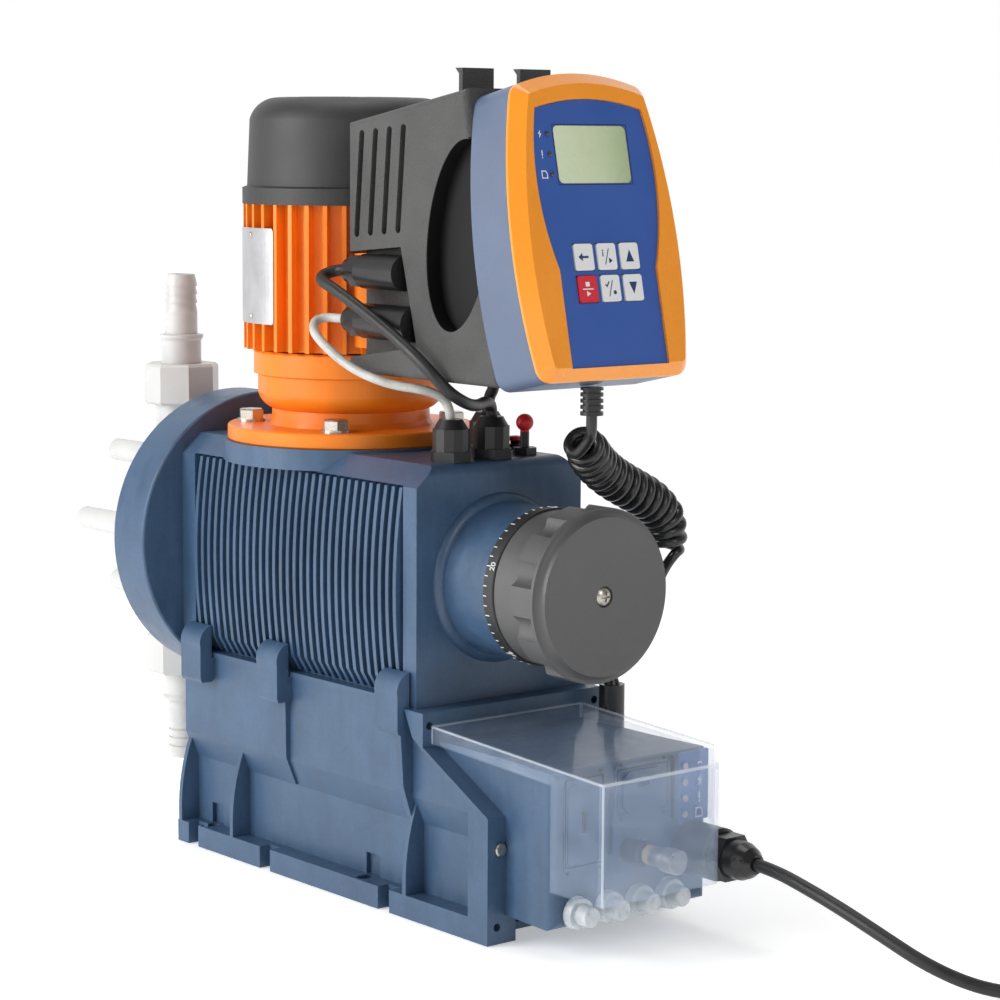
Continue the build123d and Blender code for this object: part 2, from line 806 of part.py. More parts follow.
# ------------------------------------------------------ caps and connectors
with BuildPart() as socket_caps:
    for x in cap_xs:
        with BuildSketch(facing_front(box_front - part_gap, cap_z, x)):
            Circle(cap_r)
        extrude(amount=5, taper=8)
        with BuildSketch(facing_front(box_front - part_gap - 5, cap_z, x)):
            Circle(cap_nose_r)
        extrude(amount=cap_long - 5, taper=3)
        with BuildSketch(facing_rear(box_front - part_gap, cap_z, x)):
            Circle(socket_r - part_gap)
        extrude(amount=cap_spigot)
    noses = socket_caps.faces().sort_by(Axis.Y)[:len(cap_xs)].edges()
    fillet(noses, radius=cap_nose_edge)
socket_caps.part.label = "socket_caps"
export_step(socket_caps.part, "parts/socket_caps.step")

with BuildPart() as signal_plug:
    with BuildSketch(Plane.YZ.offset(signal_x)):
        with BuildLine():
            Polyline(
                (box_front + 3, signal_z), (box_front + 3, signal_z + 4.9), (box_front, signal_z + 4.9),
                (box_front, signal_z + 7), (box_front - 11, signal_z + 7), (box_front - 12, signal_z + 5),
                (box_front - 26, signal_z + 5), (box_front - 27, signal_z + 6.5), (box_front - 36, signal_z + 6.5),
                (box_front - 37, signal_z + 5.5), (box_front - 37, signal_z), close=True)
        make_face()
    revolve(axis=Axis((signal_x, 0, signal_z), (0, 1, 0)))
signal_plug.part.label = "signal_plug"
export_step(signal_plug.part, "parts/signal_plug.step")

with BuildPart() as mains_connector:
    with BuildSketch(facing_rear(box_front - 2, mains_z, mains_x)):
        Circle(9.9)
    extrude(amount=5)
    with BuildSketch(facing_front(box_front, mains_z, mains_x)):
        Circle(mains_body_r)
    extrude(amount=box_front - mains_body_end)
    chamfer(mains_connector.faces().sort_by(Axis.Y)[0].edges(), length=1.5)
    with BuildSketch(facing_front(mains_body_end, mains_z, mains_x)):
        RegularPolygon(radius=11.5, side_count=6, major_radius=False)
    extrude(amount=9)
    with BuildSketch(Plane.YZ.offset(mains_x)):
        with BuildLine():
            Polyline(
                (mains_body_end - 9, mains_z), (mains_body_end - 9, mains_z + 10.5),
                (mains_body_end - 16, mains_z + 10), (mains_gland_end + 4, mains_z + 8),
                (mains_gland_end, mains_z + 5), (mains_gland_end, mains_z), close=True)
        make_face()
    revolve(axis=Axis((mains_x, 0, mains_z), (0, 1, 0)))
    with BuildSketch(facing_front(mains_body_end - 4, mains_z, mains_x)):
        Circle(cable_r + part_gap)
    extrude(amount=mains_body_end - 3 - mains_gland_end, mode=Mode.SUBTRACT)
mains_connector.part.label = "mains_connector"
export_step(mains_connector.part, "parts/mains_connector.step")

# --------------------------------------------------------------- head disc
with BuildPart() as head_disc:
    with BuildSketch(facing_rear(gear_rear, stroke_z)):
        Circle(disc_r)
        Circle(rod_r + part_gap, mode=Mode.SUBTRACT)
    extrude(amount=disc_thick)
    fillet(head_disc.edges().filter_by(GeomType.CIRCLE).sort_by(SortBy.RADIUS)[-2:], radius=disc_edge)
    # seat of the diaphragm
    with BuildSketch(facing_rear(gear_rear + disc_thick - 12, stroke_z)):
        Circle(disc_bore_r)
    extrude(amount=13, mode=Mode.SUBTRACT)
head_disc.part.label = "head_disc"
export_step(head_disc.part, "parts/head_disc.step")

disc_face = gear_rear + disc_thick

with BuildPart() as backplate:
    with BuildSketch(facing_rear(disc_face - 12, stroke_z)):
        Circle(disc_bore_r - seat_gap)
        Circle(rod_r + part_gap, mode=Mode.SUBTRACT)
    extrude(amount=5)
    with BuildSketch(facing_rear(disc_face - 7, stroke_z)):
        Circle(disc_bore_r - seat_gap)
        Circle(diaphragm_r + part_gap, mode=Mode.SUBTRACT)
    extrude(amount=7)
backplate.part.label = "backplate"
export_step(backplate.part, "parts/backplate.step")

with BuildPart() as diaphragm:
    with BuildSketch(Plane.YZ):
        with BuildLine():
            l1 = Line((disc_face - 6.7, stroke_z), (disc_face - 6.7, stroke_z + diaphragm_r))
            l2 = Line(l1 @ 1, (disc_face - 3, stroke_z + diaphragm_r))
            l3 = ThreePointArc(
                l2 @ 1,
                (disc_face - 3 + diaphragm_crown - cap_depth(diaphragm_crown, diaphragm_r, 18), stroke_z + 18),
                (disc_face - 3 + diaphragm_crown, stroke_z))
            Line(l3 @ 1, l1 @ 0)
        make_face()
    revolve(axis=stroke_axis)
diaphragm.part.label = "diaphragm"
export_step(diaphragm.part, "parts/diaphragm.step")

# ------------------------------------------------------------- dosing head
head_angles = [360 * i / head_bolt_count for i in range(head_bolt_count)]
with BuildPart() as dosing_head:
    with BuildSketch(Plane.YZ):
        with BuildLine():
            Polyline(
                (disc_face, stroke_z), (disc_face, stroke_z + head_r), (disc_face + 34, stroke_z + head_r - 1),
                (disc_face + 60, stroke_z + head_neck_r), (disc_face + 76, stroke_z + head_neck_r - 13),
                (disc_face + 78, stroke_z + head_neck_r - 18), (disc_face + 78, stroke_z), close=True)
        make_face()
    revolve(axis=stroke_axis)
    # bolt bosses
    with BuildSketch(facing_rear(disc_face, stroke_z)):
        for a in head_angles:
            with Locations((head_bolt_circle_r * cos(radians(a)), head_bolt_circle_r * sin(radians(a)))):
                Circle(head_boss_r)
    extrude(amount=head_boss_deep - 4, taper=0.5)
    boss_rims = dosing_head.faces().filter_by(Axis.Y).sort_by(Axis.Y)[-head_bolt_count:].edges()
    fillet(boss_rims, radius=1.5)
    # valve stem, one neck up and one down
    with BuildSketch(level(stroke_z - valve_neck_top, 0, valve_y)):
        Circle(valve_neck_r)
    extrude(amount=2 * valve_neck_top)
    # chamber and passages
    with BuildSketch(Plane.YZ):
        with BuildLine():
            l1 = Line((disc_face - 1, stroke_z), (disc_face - 1, stroke_z + chamber_r))
            l2 = Line(l1 @ 1, (disc_face + 2.5, stroke_z + chamber_r))
            l3 = ThreePointArc(
                l2 @ 1,
                (disc_face + 2.5 + chamber_crown - cap_depth(chamber_crown, chamber_r, 18), stroke_z + 18),
                (disc_face + 2.5 + chamber_crown, stroke_z))
            Line(l3 @ 1, l1 @ 0)
        make_face()
    revolve(axis=stroke_axis, mode=Mode.SUBTRACT)
    with BuildSketch(facing_rear(disc_face + 2, stroke_z)):
        Circle(passage_r)
    extrude(amount=valve_y - disc_face - 2, mode=Mode.SUBTRACT)
    with BuildSketch(level(stroke_z - valve_neck_top - 1, 0, valve_y)):
        Circle(cross_r)
    extrude(amount=2 * valve_neck_top + 2, mode=Mode.SUBTRACT)
    with BuildSketch(level(stroke_z + valve_seat - cage_drop, 0, valve_y)):
        Circle(valve_bore_r)
    extrude(amount=valve_neck_top - valve_seat + cage_drop + 1, mode=Mode.SUBTRACT)
    with BuildSketch(level(stroke_z - valve_neck_top - 1, 0, valve_y)):
        Circle(valve_bore_r)
    extrude(amount=valve_neck_top - valve_seat + cage_long - cage_drop + 1, mode=Mode.SUBTRACT)
    # screw holes, counterbored from the back
    with BuildSketch(facing_rear(disc_face - 1, stroke_z)):
        for a in head_angles:
            with Locations((head_bolt_circle_r * cos(radians(a)), head_bolt_circle_r * sin(radians(a)))):
                Circle(head_screw_r + seat_gap)
    extrude(amount=head_boss_deep + 2, mode=Mode.SUBTRACT)
    with BuildSketch(facing_rear(disc_face + head_boss_deep - 10, stroke_z)):
        for a in head_angles:
            with Locations((head_bolt_circle_r * cos(radians(a)), head_bolt_circle_r * sin(radians(a)))):
                Circle(head_screw_r + 2.6)
    extrude(amount=10, mode=Mode.SUBTRACT)
dosing_head.part.label = "dosing_head"
export_step(dosing_head.part, "parts/dosing_head.step")

with BuildPart() as head_screws:
    for a in head_angles:
        x = -head_bolt_circle_r * cos(radians(a))
        z = stroke_z + head_bolt_circle_r * sin(radians(a))
        with BuildSketch(facing_rear(disc_face, z, x)):
            Circle(head_screw_r)
        extrude(amount=head_boss_deep - 10)
        with BuildSketch(facing_rear(disc_face + head_boss_deep - 10, z, x)):
            Circle(head_screw_r + 2.3)
            RegularPolygon(radius=2.5, side_count=6, mode=Mode.SUBTRACT)
        extrude(amount=5)
head_screws.part.label = "head_screws"
export_step(head_screws.part, "parts/head_screws.step")

# ------------------------------------------------------------------ valves
def valve_profile(z0, sign, points):
    """Outline points at the valve axis, given as (radius, height from z0)."""
    return [(valve_y + r, z0 + sign * h) for r, h in points]


for name, sign in (("discharge", 1), ("suction", -1)):
    seat_z = stroke_z + sign * valve_seat
    # valve cartridge: the seat is below the ball on both sides
    cage_low = seat_z - cage_drop
    with BuildPart() as valve_body:
        with BuildSketch(level(cage_low, 0, valve_y)):
            Circle(valve_body_r)
        extrude(amount=cage_long)
        with BuildSketch(level(cage_low + cage_floor, 0, valve_y)):
            Circle(ball_cage_r)
        extrude(amount=2 * ball_r + ball_lift + 1, mode=Mode.SUBTRACT)
        with BuildSketch(level(cage_low - 1, 0, valve_y)):
            Circle(passage_r - 0.5)
        extrude(amount=cage_long + 2, mode=Mode.SUBTRACT)
    valve_body.part.label = f"{name}_valve_seat"
    export_step(valve_body.part, f"parts/{name}_valve_seat.step")

    with BuildPart() as ball:
        with Locations((0, valve_y, cage_low + cage_floor + ball_r + 0.05)):
            Sphere(ball_r)
    ball.part.label = f"{name}_ball"
    export_step(ball.part, f"parts/{name}_ball.step")

    with BuildPart() as union_nut:
        nut_plane = Plane(
            (0, valve_y, stroke_z + sign * nut_low), x_dir=(1, 0, 0), z_dir=(0, 0, sign))
        with BuildSketch(nut_plane):
            RegularPolygon(radius=nut_r, side_count=8, rotation=22.5)
        extrude(amount=nut_high - nut_low)
        chamfer(union_nut.faces().filter_by(Axis.Z).edges(), length=1.6)
        with BuildSketch(nut_plane.offset(-1)):
            Circle(valve_flange_r + 1 + seat_gap)
        extrude(amount=nut_high - nut_low - nut_lip + 1, mode=Mode.SUBTRACT)
        with BuildSketch(nut_plane):
            Circle(nozzle_body_r + part_gap)
        extrude(amount=nut_high - nut_low + 1, mode=Mode.SUBTRACT)
    union_nut.part.label = f"{name}_union_nut"
    export_step(union_nut.part, f"parts/{name}_union_nut.step")

    seat_h = nut_low + 1
    barb_low = nozzle_end - 2 - barb_count * barb_pitch
    outline = [
        (0, seat_h), (valve_flange_r, seat_h), (valve_flange_r, nut_high - nut_lip - 0.2),
        (nozzle_body_r, nut_high - nut_lip - 0.2), (nozzle_body_r, nozzle_collar - 2),
        (nozzle_collar_r, nozzle_collar), (nozzle_collar_r, nozzle_collar + 1.5),
        (nozzle_r, nozzle_collar + 2)]
    for i in range(barb_count):
        outline.append((nozzle_r, barb_low + i * barb_pitch))
        outline.append((nozzle_r - barb_deep, barb_low + (i + 1) * barb_pitch))
    outline += [(nozzle_mouth_r, nozzle_end), (0, nozzle_end)]
    with BuildPart() as hose_nozzle:
        with BuildSketch(Plane.YZ):
            with BuildLine():
                Polyline(*valve_profile(stroke_z, sign, outline), close=True)
            make_face()
        revolve(axis=valve_axis)
        with BuildSketch(nut_plane):
            Circle(nozzle_bore_r)
        extrude(amount=nozzle_end, mode=Mode.SUBTRACT)
    hose_nozzle.part.label = f"{name}_nozzle"
    export_step(hose_nozzle.part, f"parts/{name}_nozzle.step")

# --------------------------------------------------------- drive mechanism
with BuildPart() as push_rod:
    with BuildSketch(facing_rear(yoke_rear, stroke_z)):
        Circle(rod_r)
    extrude(amount=disc_face - 6.7 - yoke_rear)
    with BuildSketch(level(stroke_z - yoke_high / 2, 0, (yoke_front + yoke_rear) / 2)):
        Rectangle(2 * (yoke_x + yoke_thick), yoke_rear - yoke_front)
        Rectangle(2 * yoke_x, yoke_rear - yoke_front - 2 * yoke_bar, mode=Mode.SUBTRACT)
        # pads that the two cams press on
        pad_y = wheel_y + cam_r + cam_throw + part_gap + yoke_bar / 2 - (yoke_front + yoke_rear) / 2
        pad_x = (cam_x - cam_wide / 2 + yoke_x) / 2
        with Locations((pad_x, pad_y), (-pad_x, pad_y)):
            Rectangle(yoke_x - cam_x + cam_wide / 2, yoke_bar)
    extrude(amount=yoke_high)
    # the cam shaft passes through a slot in each arm
    with BuildSketch(Plane.YZ):
        with Locations((wheel_y - rod_stroke / 2, stroke_z)):
            SlotOverall(2 * (cam_shaft_r + part_gap) + rod_stroke, 2 * (cam_shaft_r + part_gap))
    extrude(amount=yoke_x + yoke_thick + 1, both=True, mode=Mode.SUBTRACT)
push_rod.part.label = "push_rod"
export_step(push_rod.part, "parts/push_rod.step")

with BuildPart() as eccentric_shaft:
    with BuildSketch(Plane.YZ.offset(-cam_shaft_half)):
        with Locations((wheel_y, stroke_z)):
            Circle(cam_shaft_r)
    extrude(amount=2 * cam_shaft_half)
    for side in (-1, 1):
        with BuildSketch(Plane.YZ.offset(side * cam_x - cam_wide / 2)):
            with Locations((wheel_y - cam_throw, stroke_z)):
                Circle(cam_r)
        extrude(amount=cam_wide)
eccentric_shaft.part.label = "eccentric_shaft"
export_step(eccentric_shaft.part, "parts/eccentric_shaft.step")

with BuildPart() as worm_wheel:
    with BuildSketch(Plane.YZ.offset(-wheel_wide / 2)):
        with Locations((wheel_y, stroke_z)):
            Circle(wheel_r)
            Circle(cam_shaft_r + run_gap, mode=Mode.SUBTRACT)
            with PolarLocations(wheel_r * 0.6, 6):
                Circle(4.5, mode=Mode.SUBTRACT)
    extrude(amount=wheel_wide)
worm_wheel.part.label = "worm_wheel"
export_step(worm_wheel.part, "parts/worm_wheel.step")

with BuildPart() as return_spring:
    with BuildSketch(facing_rear(gear_rear - gear_wall - 22, stroke_z)):
        Circle(16)
        Circle(12, mode=Mode.SUBTRACT)
    extrude(amount=22)
return_spring.part.label = "return_spring"
export_step(return_spring.part, "parts/return_spring.step")

# ------------------------------------------------------------ stroke knob
with BuildPart() as stroke_knob:
    with BuildSketch(Plane.YZ):
        with BuildLine():
            l1 = Line((boss_front - part_gap - dial_thick, stroke_z + sleeve_r),
                      (sleeve_end, stroke_z + sleeve_r - 0.5))
            l2 = Line(l1 @ 1, (sleeve_end, stroke_z + grip_r - 1))
            l3 = Line(l2 @ 1, (sleeve_end - 1, stroke_z + grip_r))
            l4 = Line(l3 @ 1, (grip_front + grip_edge, stroke_z + grip_r))
            l5 = RadiusArc(l4 @ 1, (grip_front, stroke_z + grip_r - grip_edge), grip_edge)
            l6 = Line(l5 @ 1, (grip_front, stroke_z + grip_r - grip_edge - 3))
            dish_r = grip_r - grip_edge - 3
            l7 = ThreePointArc(
                l6 @ 1,
                (grip_front + face_dish - cap_depth(face_dish, dish_r, dish_r / 2), stroke_z + dish_r / 2),
                (grip_front + face_dish, stroke_z))
            l8 = Line(l7 @ 1, (boss_front - part_gap, stroke_z))
            l9 = Line(l8 @ 1, (boss_front - part_gap, stroke_z + hub_r))
            l10 = Line(l9 @ 1, (grip_front + knob_face, stroke_z + hub_r))
            l11 = Line(l10 @ 1, (grip_front + knob_face, stroke_z + sleeve_r - knob_wall))
            l12 = Line(l11 @ 1, (boss_front - part_gap - dial_thick, stroke_z + sleeve_r - knob_wall))
            Line(l12 @ 1, l1 @ 0)
        make_face()
    revolve(axis=stroke_axis)
    # finger scallops round the grip
    with BuildSketch(facing_front(sleeve_end + 1, stroke_z)):
        with PolarLocations(grip_r + scallop_r - scallop_deep, scallop_count, start_angle=18):
            Circle(scallop_r)
    extrude(amount=sleeve_end + 1 - scallop_end, mode=Mode.SUBTRACT)
    # bore of the spindle, and the screw that holds the knob
    with BuildSketch(facing_front(boss_front, stroke_z)):
        Circle(spindle_r + run_gap)
    extrude(amount=boss_front - grip_front - spindle_room, mode=Mode.SUBTRACT)
    with BuildSketch(facing_front(boss_front, stroke_z)):
        Circle(screw_r + 0.1)
    extrude(amount=60, mode=Mode.SUBTRACT)
    with BuildSketch(facing_front(grip_front + screw_seat, stroke_z)):
        Circle(screw_head_r + 0.2)
    extrude(amount=4, mode=Mode.SUBTRACT)
stroke_knob.part.label = "stroke_knob"
export_step(stroke_knob.part, "parts/stroke_knob.step")

with BuildPart() as dial_ring:
    with BuildSketch(facing_front(boss_front - part_gap, stroke_z)):
        Circle(dial_r)
        Circle(sleeve_r - knob_wall, mode=Mode.SUBTRACT)
    extrude(amount=dial_thick)
    chamfer(dial_ring.edges().filter_by(GeomType.CIRCLE).sort_by(SortBy.RADIUS)[-2:], length=0.5)
dial_ring.part.label = "dial_ring"
export_step(dial_ring.part, "parts/dial_ring.step")

with BuildPart() as knob_screw:
    with BuildSketch(Plane.YZ):
        with BuildLine():
            l1 = Line((grip_front + screw_tip, stroke_z), (grip_front + screw_tip, stroke_z + screw_r))
            l2 = Line(l1 @ 1, (grip_front + screw_seat, stroke_z + screw_r))
            l3 = Line(l2 @ 1, (grip_front + screw_seat, stroke_z + screw_head_r))
            fallen = cap_depth(screw_head_rise, screw_head_r, screw_head_r / 2)
            l4 = ThreePointArc(
                l3 @ 1,
                (grip_front + screw_seat - screw_head_rise + fallen, stroke_z + screw_head_r / 2),
                (grip_front + screw_seat - screw_head_rise, stroke_z))
            Line(l4 @ 1, l1 @ 0)
        make_face()
    revolve(axis=stroke_axis)
    with BuildSketch(facing_front(grip_front + screw_seat - 0.8, stroke_z)):
        Rectangle(5.6, 1.2)
        Rectangle(1.2, 5.6)
    extrude(amount=4, mode=Mode.SUBTRACT)
knob_screw.part.label = "knob_screw"
export_step(knob_screw.part, "parts/knob_screw.step")

with BuildPart() as adjusting_spindle:
    with BuildSketch(facing_front(yoke_front - part_gap, stroke_z)):
        Circle(spindle_r)
    extrude(amount=yoke_front - part_gap - grip_front - spindle_room - rod_stroke - 1)
adjusting_spindle.part.label = "adjusting_spindle"
export_step(adjusting_spindle.part, "parts/adjusting_spindle.step")

# ------------------------------------------------------------------ motor
def ring_of(angles, r):
    """Points on the motor axis circle, as offsets from that axis."""
    return [(r * cos(radians(a)), r * sin(radians(a))) for a in angles]


bolt_angles = (45, 135, 225, 315)
with BuildPart() as motor_flange:
    with BuildSketch(Plane.XZ.offset(-motor_y)):
        with BuildLine():
            l1 = Line((0, flange_low), (flange_r - 0.8, flange_low))
            l2 = Line(l1 @ 1, (flange_r, flange_low + 0.8))
            l3 = Line(l2 @ 1, (flange_r, flange_high - 0.8))
            l4 = Line(l3 @ 1, (flange_r - 0.8, flange_high))
            l5 = Line(l4 @ 1, (neck_r + 1.5, flange_high))
            l6 = Line(l5 @ 1, (neck_r, flange_high + 3))
            l7 = Line(l6 @ 1, (neck_r - 0.3, neck_top))
            l8 = ThreePointArc(l7 @ 1, (bell_r - 2, neck_top + 4.5), (bell_r, bell_low + 4))
            l9 = Line(l8 @ 1, (bell_r, bell_top))
            l10 = Line(l9 @ 1, (ring_r, bell_top + 1))
            l11 = Line(l10 @ 1, (ring_r, ring_top - 1))
            l12 = Line(l11 @ 1, (ring_r - 1, ring_top))
            l13 = Line(l12 @ 1, (0, ring_top))
            Line(l13 @ 1, l1 @ 0)
        make_face()
    revolve(axis=motor_axis)
    with BuildSketch(level(flange_low - 6, 0, motor_y)):
        Circle(motor_spigot_r - seat_gap)
    extrude(amount=6.5)
    with BuildSketch(level(flange_low - 7, 0, motor_y)):
        Circle(motor_spigot_r - 8)
    extrude(amount=ring_top - 8 - flange_low + 7, mode=Mode.SUBTRACT)
    with BuildSketch(level(flange_low - 7, 0, motor_y)):
        Circle(15)
    extrude(amount=ring_top + 8 - flange_low, mode=Mode.SUBTRACT)
    with BuildSketch(level(flange_low - 1, 0, motor_y)):
        with Locations(*ring_of(bolt_angles, flange_circle_r)):
            Circle(flange_hole_r)
    extrude(amount=flange_high - flange_low + 2, mode=Mode.SUBTRACT)
motor_flange.part.label = "motor_flange"
export_step(motor_flange.part, "parts/motor_flange.step")

with BuildPart() as flange_bolts:
    with BuildSketch(level(deck_low + 3, 0, motor_y)):
        with Locations(*ring_of(bolt_angles, flange_circle_r)):
            Circle(bolt_r)
    extrude(amount=flange_high - deck_low - 3)
    with BuildSketch(level(flange_high, 0, motor_y)):
        with Locations(*ring_of(bolt_angles, flange_circle_r)):
            Circle(washer_r)
    extrude(amount=washer_thick)
    with BuildSketch(level(flange_high + washer_thick, 0, motor_y)):
        with Locations(*ring_of(bolt_angles, flange_circle_r)):
            RegularPolygon(radius=bolt_af / 2, side_count=6, major_radius=False)
    extrude(amount=bolt_head)
    chamfer(flange_bolts.faces().filter_by(Axis.Z).group_by(Axis.Z)[-1].edges(), length=0.7)
flange_bolts.part.label = "flange_bolts"
export_step(flange_bolts.part, "parts/flange_bolts.step")

pad_front = motor_y - stator_fin_r - 3.0
with BuildPart() as stator_housing:
    with BuildSketch(level(stator_low, 0, motor_y)):
        Circle(stator_r)
    extrude(amount=stator_top - stator_low)
    # cooling fins
    fin_angles = [360 * i / stator_fins for i in range(stator_fins)]
    with BuildSketch(level(stator_low, 0, motor_y)):
        for a in fin_angles:
            with Locations(Location((0, 0, 0), (0, 0, a))):
                with Locations(((stator_fin_r + stator_r) / 2 - 1, 0)):
                    Rectangle(stator_fin_r - stator_r + 2, stator_fin_thick)
    extrude(amount=stator_top - stator_low)
    # flat pad for the rating plate, and the pad that carries the electronics
    plate_plane = Plane(
        (stator_fin_r * cos(radians(plate_angle)) * 0.9, motor_y + stator_fin_r * sin(radians(plate_angle)) * 0.9,
         (stator_low + stator_top) / 2 - 2),
        x_dir=(-sin(radians(plate_angle)), cos(radians(plate_angle)), 0),
        z_dir=(cos(radians(plate_angle)), sin(radians(plate_angle)), 0))
    with BuildSketch(level(stator_low + 4, 0, pad_front + 8)):
        Rectangle(66, 16)
    extrude(amount=stator_top - stator_low - 12)
    # the rotor runs in the bore
    with BuildSketch(level(stator_low - 1, 0, motor_y)):
        Circle(stator_bore_r)
    extrude(amount=stator_top - stator_low + 2, mode=Mode.SUBTRACT)
stator_housing.part.label = "stator_housing"
export_step(stator_housing.part, "parts/stator_housing.step")

with BuildPart() as fan_cowl:
    with BuildSketch(Plane.XZ.offset(-motor_y)):
        with BuildLine():
            l1 = Line((stator_r - 2, stator_top), (cowl_rim_r, stator_top))
            l2 = Line(l1 @ 1, (cowl_rim_r, cowl_rim_top - 1))
            l3 = Line(l2 @ 1, (cowl_r + 0.6, cowl_rim_top))
            l4 = Line(l3 @ 1, (cowl_r - 1, cowl_top - cowl_edge_r))
            l5 = ThreePointArc(
                l4 @ 1, (cowl_r - 5.5, cowl_top - 4.5), (cowl_r - cowl_edge_r - 4, cowl_top))
            l6 = Line(l5 @ 1, (12, cowl_top))
            l7 = Line(l6 @ 1, (12, cowl_top - cowl_wall))
            l8 = Line(l7 @ 1, (cowl_r - cowl_edge_r - 5, cowl_top - cowl_wall))
            l9 = ThreePointArc(
                l8 @ 1, (cowl_r - 8, cowl_top - 7), (cowl_r - 1 - cowl_wall, cowl_top - cowl_edge_r - 2))
            l10 = Line(l9 @ 1, (cowl_r - cowl_wall, cowl_rim_top))
            l11 = Line(l10 @ 1, (stator_r - 2, cowl_rim_top))
            Line(l11 @ 1, l1 @ 0)
        make_face()
    revolve(axis=motor_axis)
    with BuildSketch(level(cowl_top - 1, 0, motor_y)):
        Circle(12.5)
    extrude(amount=-cowl_wall + 1)
    # air slots in the top
    with BuildSketch(level(cowl_top + 1, 0, motor_y)):
        with PolarLocations(27, 18):
            SlotOverall(20, 3.6)
    extrude(amount=-cowl_wall - 2, mode=Mode.SUBTRACT)
fan_cowl.part.label = "fan_cowl"
export_step(fan_cowl.part, "parts/fan_cowl.step")

with BuildPart() as rotor_shaft:
    with BuildSketch(level(stroke_z - worm_long / 2 - 12, 0, motor_y)):
        Circle(shaft_r - 1)
    extrude(amount=cowl_top - 26 - stroke_z + worm_long / 2 + 12)
    with BuildSketch(level(stator_low + 14, 0, motor_y)):
        Circle(rotor_r)
    extrude(amount=stator_top - stator_low - 28)
    with BuildSketch(level(stroke_z - worm_long / 2, 0, motor_y)):
        Circle(worm_r)
        Circle(shaft_r - 1, mode=Mode.SUBTRACT)
    extrude(amount=worm_long)
rotor_shaft.part.label = "rotor_shaft"
export_step(rotor_shaft.part, "parts/rotor_shaft.step")

with BuildPart() as bearings:
    for side in (-1, 1):
        with BuildSketch(Plane.YZ.offset(side * cam_bearing_in)):
            with Locations((wheel_y, stroke_z)):
                Circle(16)
                Circle(cam_shaft_r + run_gap, mode=Mode.SUBTRACT)
        extrude(amount=side * (chamber_half - cam_bearing_in))
    for z in (ring_top - 8, stator_top + 1):
        with BuildSketch(level(z, 0, motor_y)):
            Circle(15)
            Circle(shaft_r - 1 + run_gap, mode=Mode.SUBTRACT)
        extrude(amount=8)
    # end shield under the fan
    with BuildSketch(level(stator_top, 0, motor_y)):
        Circle(stator_r - 2.2)
        Circle(15, mode=Mode.SUBTRACT)
    extrude(amount=4)
    # lower bearing in the gear chamber
    with BuildSketch(level(base_top + gear_floor, 0, motor_y)):
        Circle(13)
        Circle(shaft_r - 1 + run_gap, mode=Mode.SUBTRACT)
    extrude(amount=stroke_z - worm_long / 2 - 4 - base_top - gear_floor)
bearings.part.label = "bearings"
export_step(bearings.part, "parts/bearings.step")

with BuildPart() as fan:
    with BuildSketch(level(cowl_rim_top + 6, 0, motor_y)):
        Circle(14)
        Circle(shaft_r - 1 + run_gap, mode=Mode.SUBTRACT)
    extrude(amount=cowl_top - 30 - cowl_rim_top)
    with BuildSketch(level(cowl_rim_top + 6, 0, motor_y)):
        Circle(fan_r - 1)
        Circle(13, mode=Mode.SUBTRACT)
    extrude(amount=2)
    with BuildSketch(level(cowl_rim_top + 6, 0, motor_y)):
        for i in range(fan_blades):
            with Locations(Location((0, 0, 0), (0, 0, 360 * i / fan_blades))):
                with Locations((fan_r / 2 + 6, 0)):
                    Rectangle(fan_r - 13, 2)
    extrude(amount=cowl_top - 30 - cowl_rim_top)
fan.part.label = "fan"
export_step(fan.part, "parts/fan.step")

# ---------------------------------------------------- drive electronics
def seam_y(z):
    """Where the control unit meets the electronics housing, at a height."""
    return seam_low_y + (seam_top_y - seam_low_y) * (z - conv_low) / (conv_front_top - conv_low)


with BuildPart() as converter_housing:
    with BuildSketch(Plane.YZ):
        with BuildLine():
            Polyline(
                (conv_rear, conv_low), (conv_rear, conv_rear_top), (seam_y(conv_front_top), conv_front_top),
                (seam_y(conv_low), conv_low), close=True)
        make_face()
    extrude(amount=conv_half, both=True)
    side_edges = converter_housing.faces().filter_by(Axis.X).edges()
    fillet(side_edges, radius=conv_wall_r)
    # notch with the two plug sockets, open to the rear
    with BuildSketch(Plane.YZ.offset(-conv_half - 1)) as notch:
        with BuildLine():
            Polyline(*notch_points, close=True)
        make_face()
        fillet(notch.vertices().sort_by(Axis.Z)[-1], radius=notch_corner_r)
    extrude(amount=conv_half + 1 - notch_x, mode=Mode.SUBTRACT)
    # air slots on both sides
    for side in (-1, 1):
        for i in range(vent_count):
            with BuildSketch(Plane.YZ.offset(side * conv_half)):
                with Locations((vent_first_y - i * vent_pitch, (vent_low + vent_top) / 2 + i)):
                    SlotOverall(vent_top - vent_low, vent_wide, rotation=vent_lean)
            extrude(amount=vent_deep, both=True, mode=Mode.SUBTRACT)
    # finger grips beside the control unit
    for side in (-1, 1):
        with BuildSketch(Plane.YZ.offset(side * conv_half)):
            with Locations(Location((grip_y, grip_z, 0), (0, 0, grip_lean))):
                Ellipse(grip_half_long, grip_half_wide)
        extrude(amount=grip_deep, both=True, mode=Mode.SUBTRACT)
    # pockets of the two release tabs
    for side in (-1, 1):
        with BuildSketch(level(tab_low - part_gap, side * tab_x, tab_y)):
            Rectangle(tab_wide + 2 * part_gap, tab_thick + tab_room)
        extrude(amount=tab_top - tab_low, mode=Mode.SUBTRACT)
converter_housing.part.label = "converter_housing"
export_step(converter_housing.part, "parts/converter_housing.step")

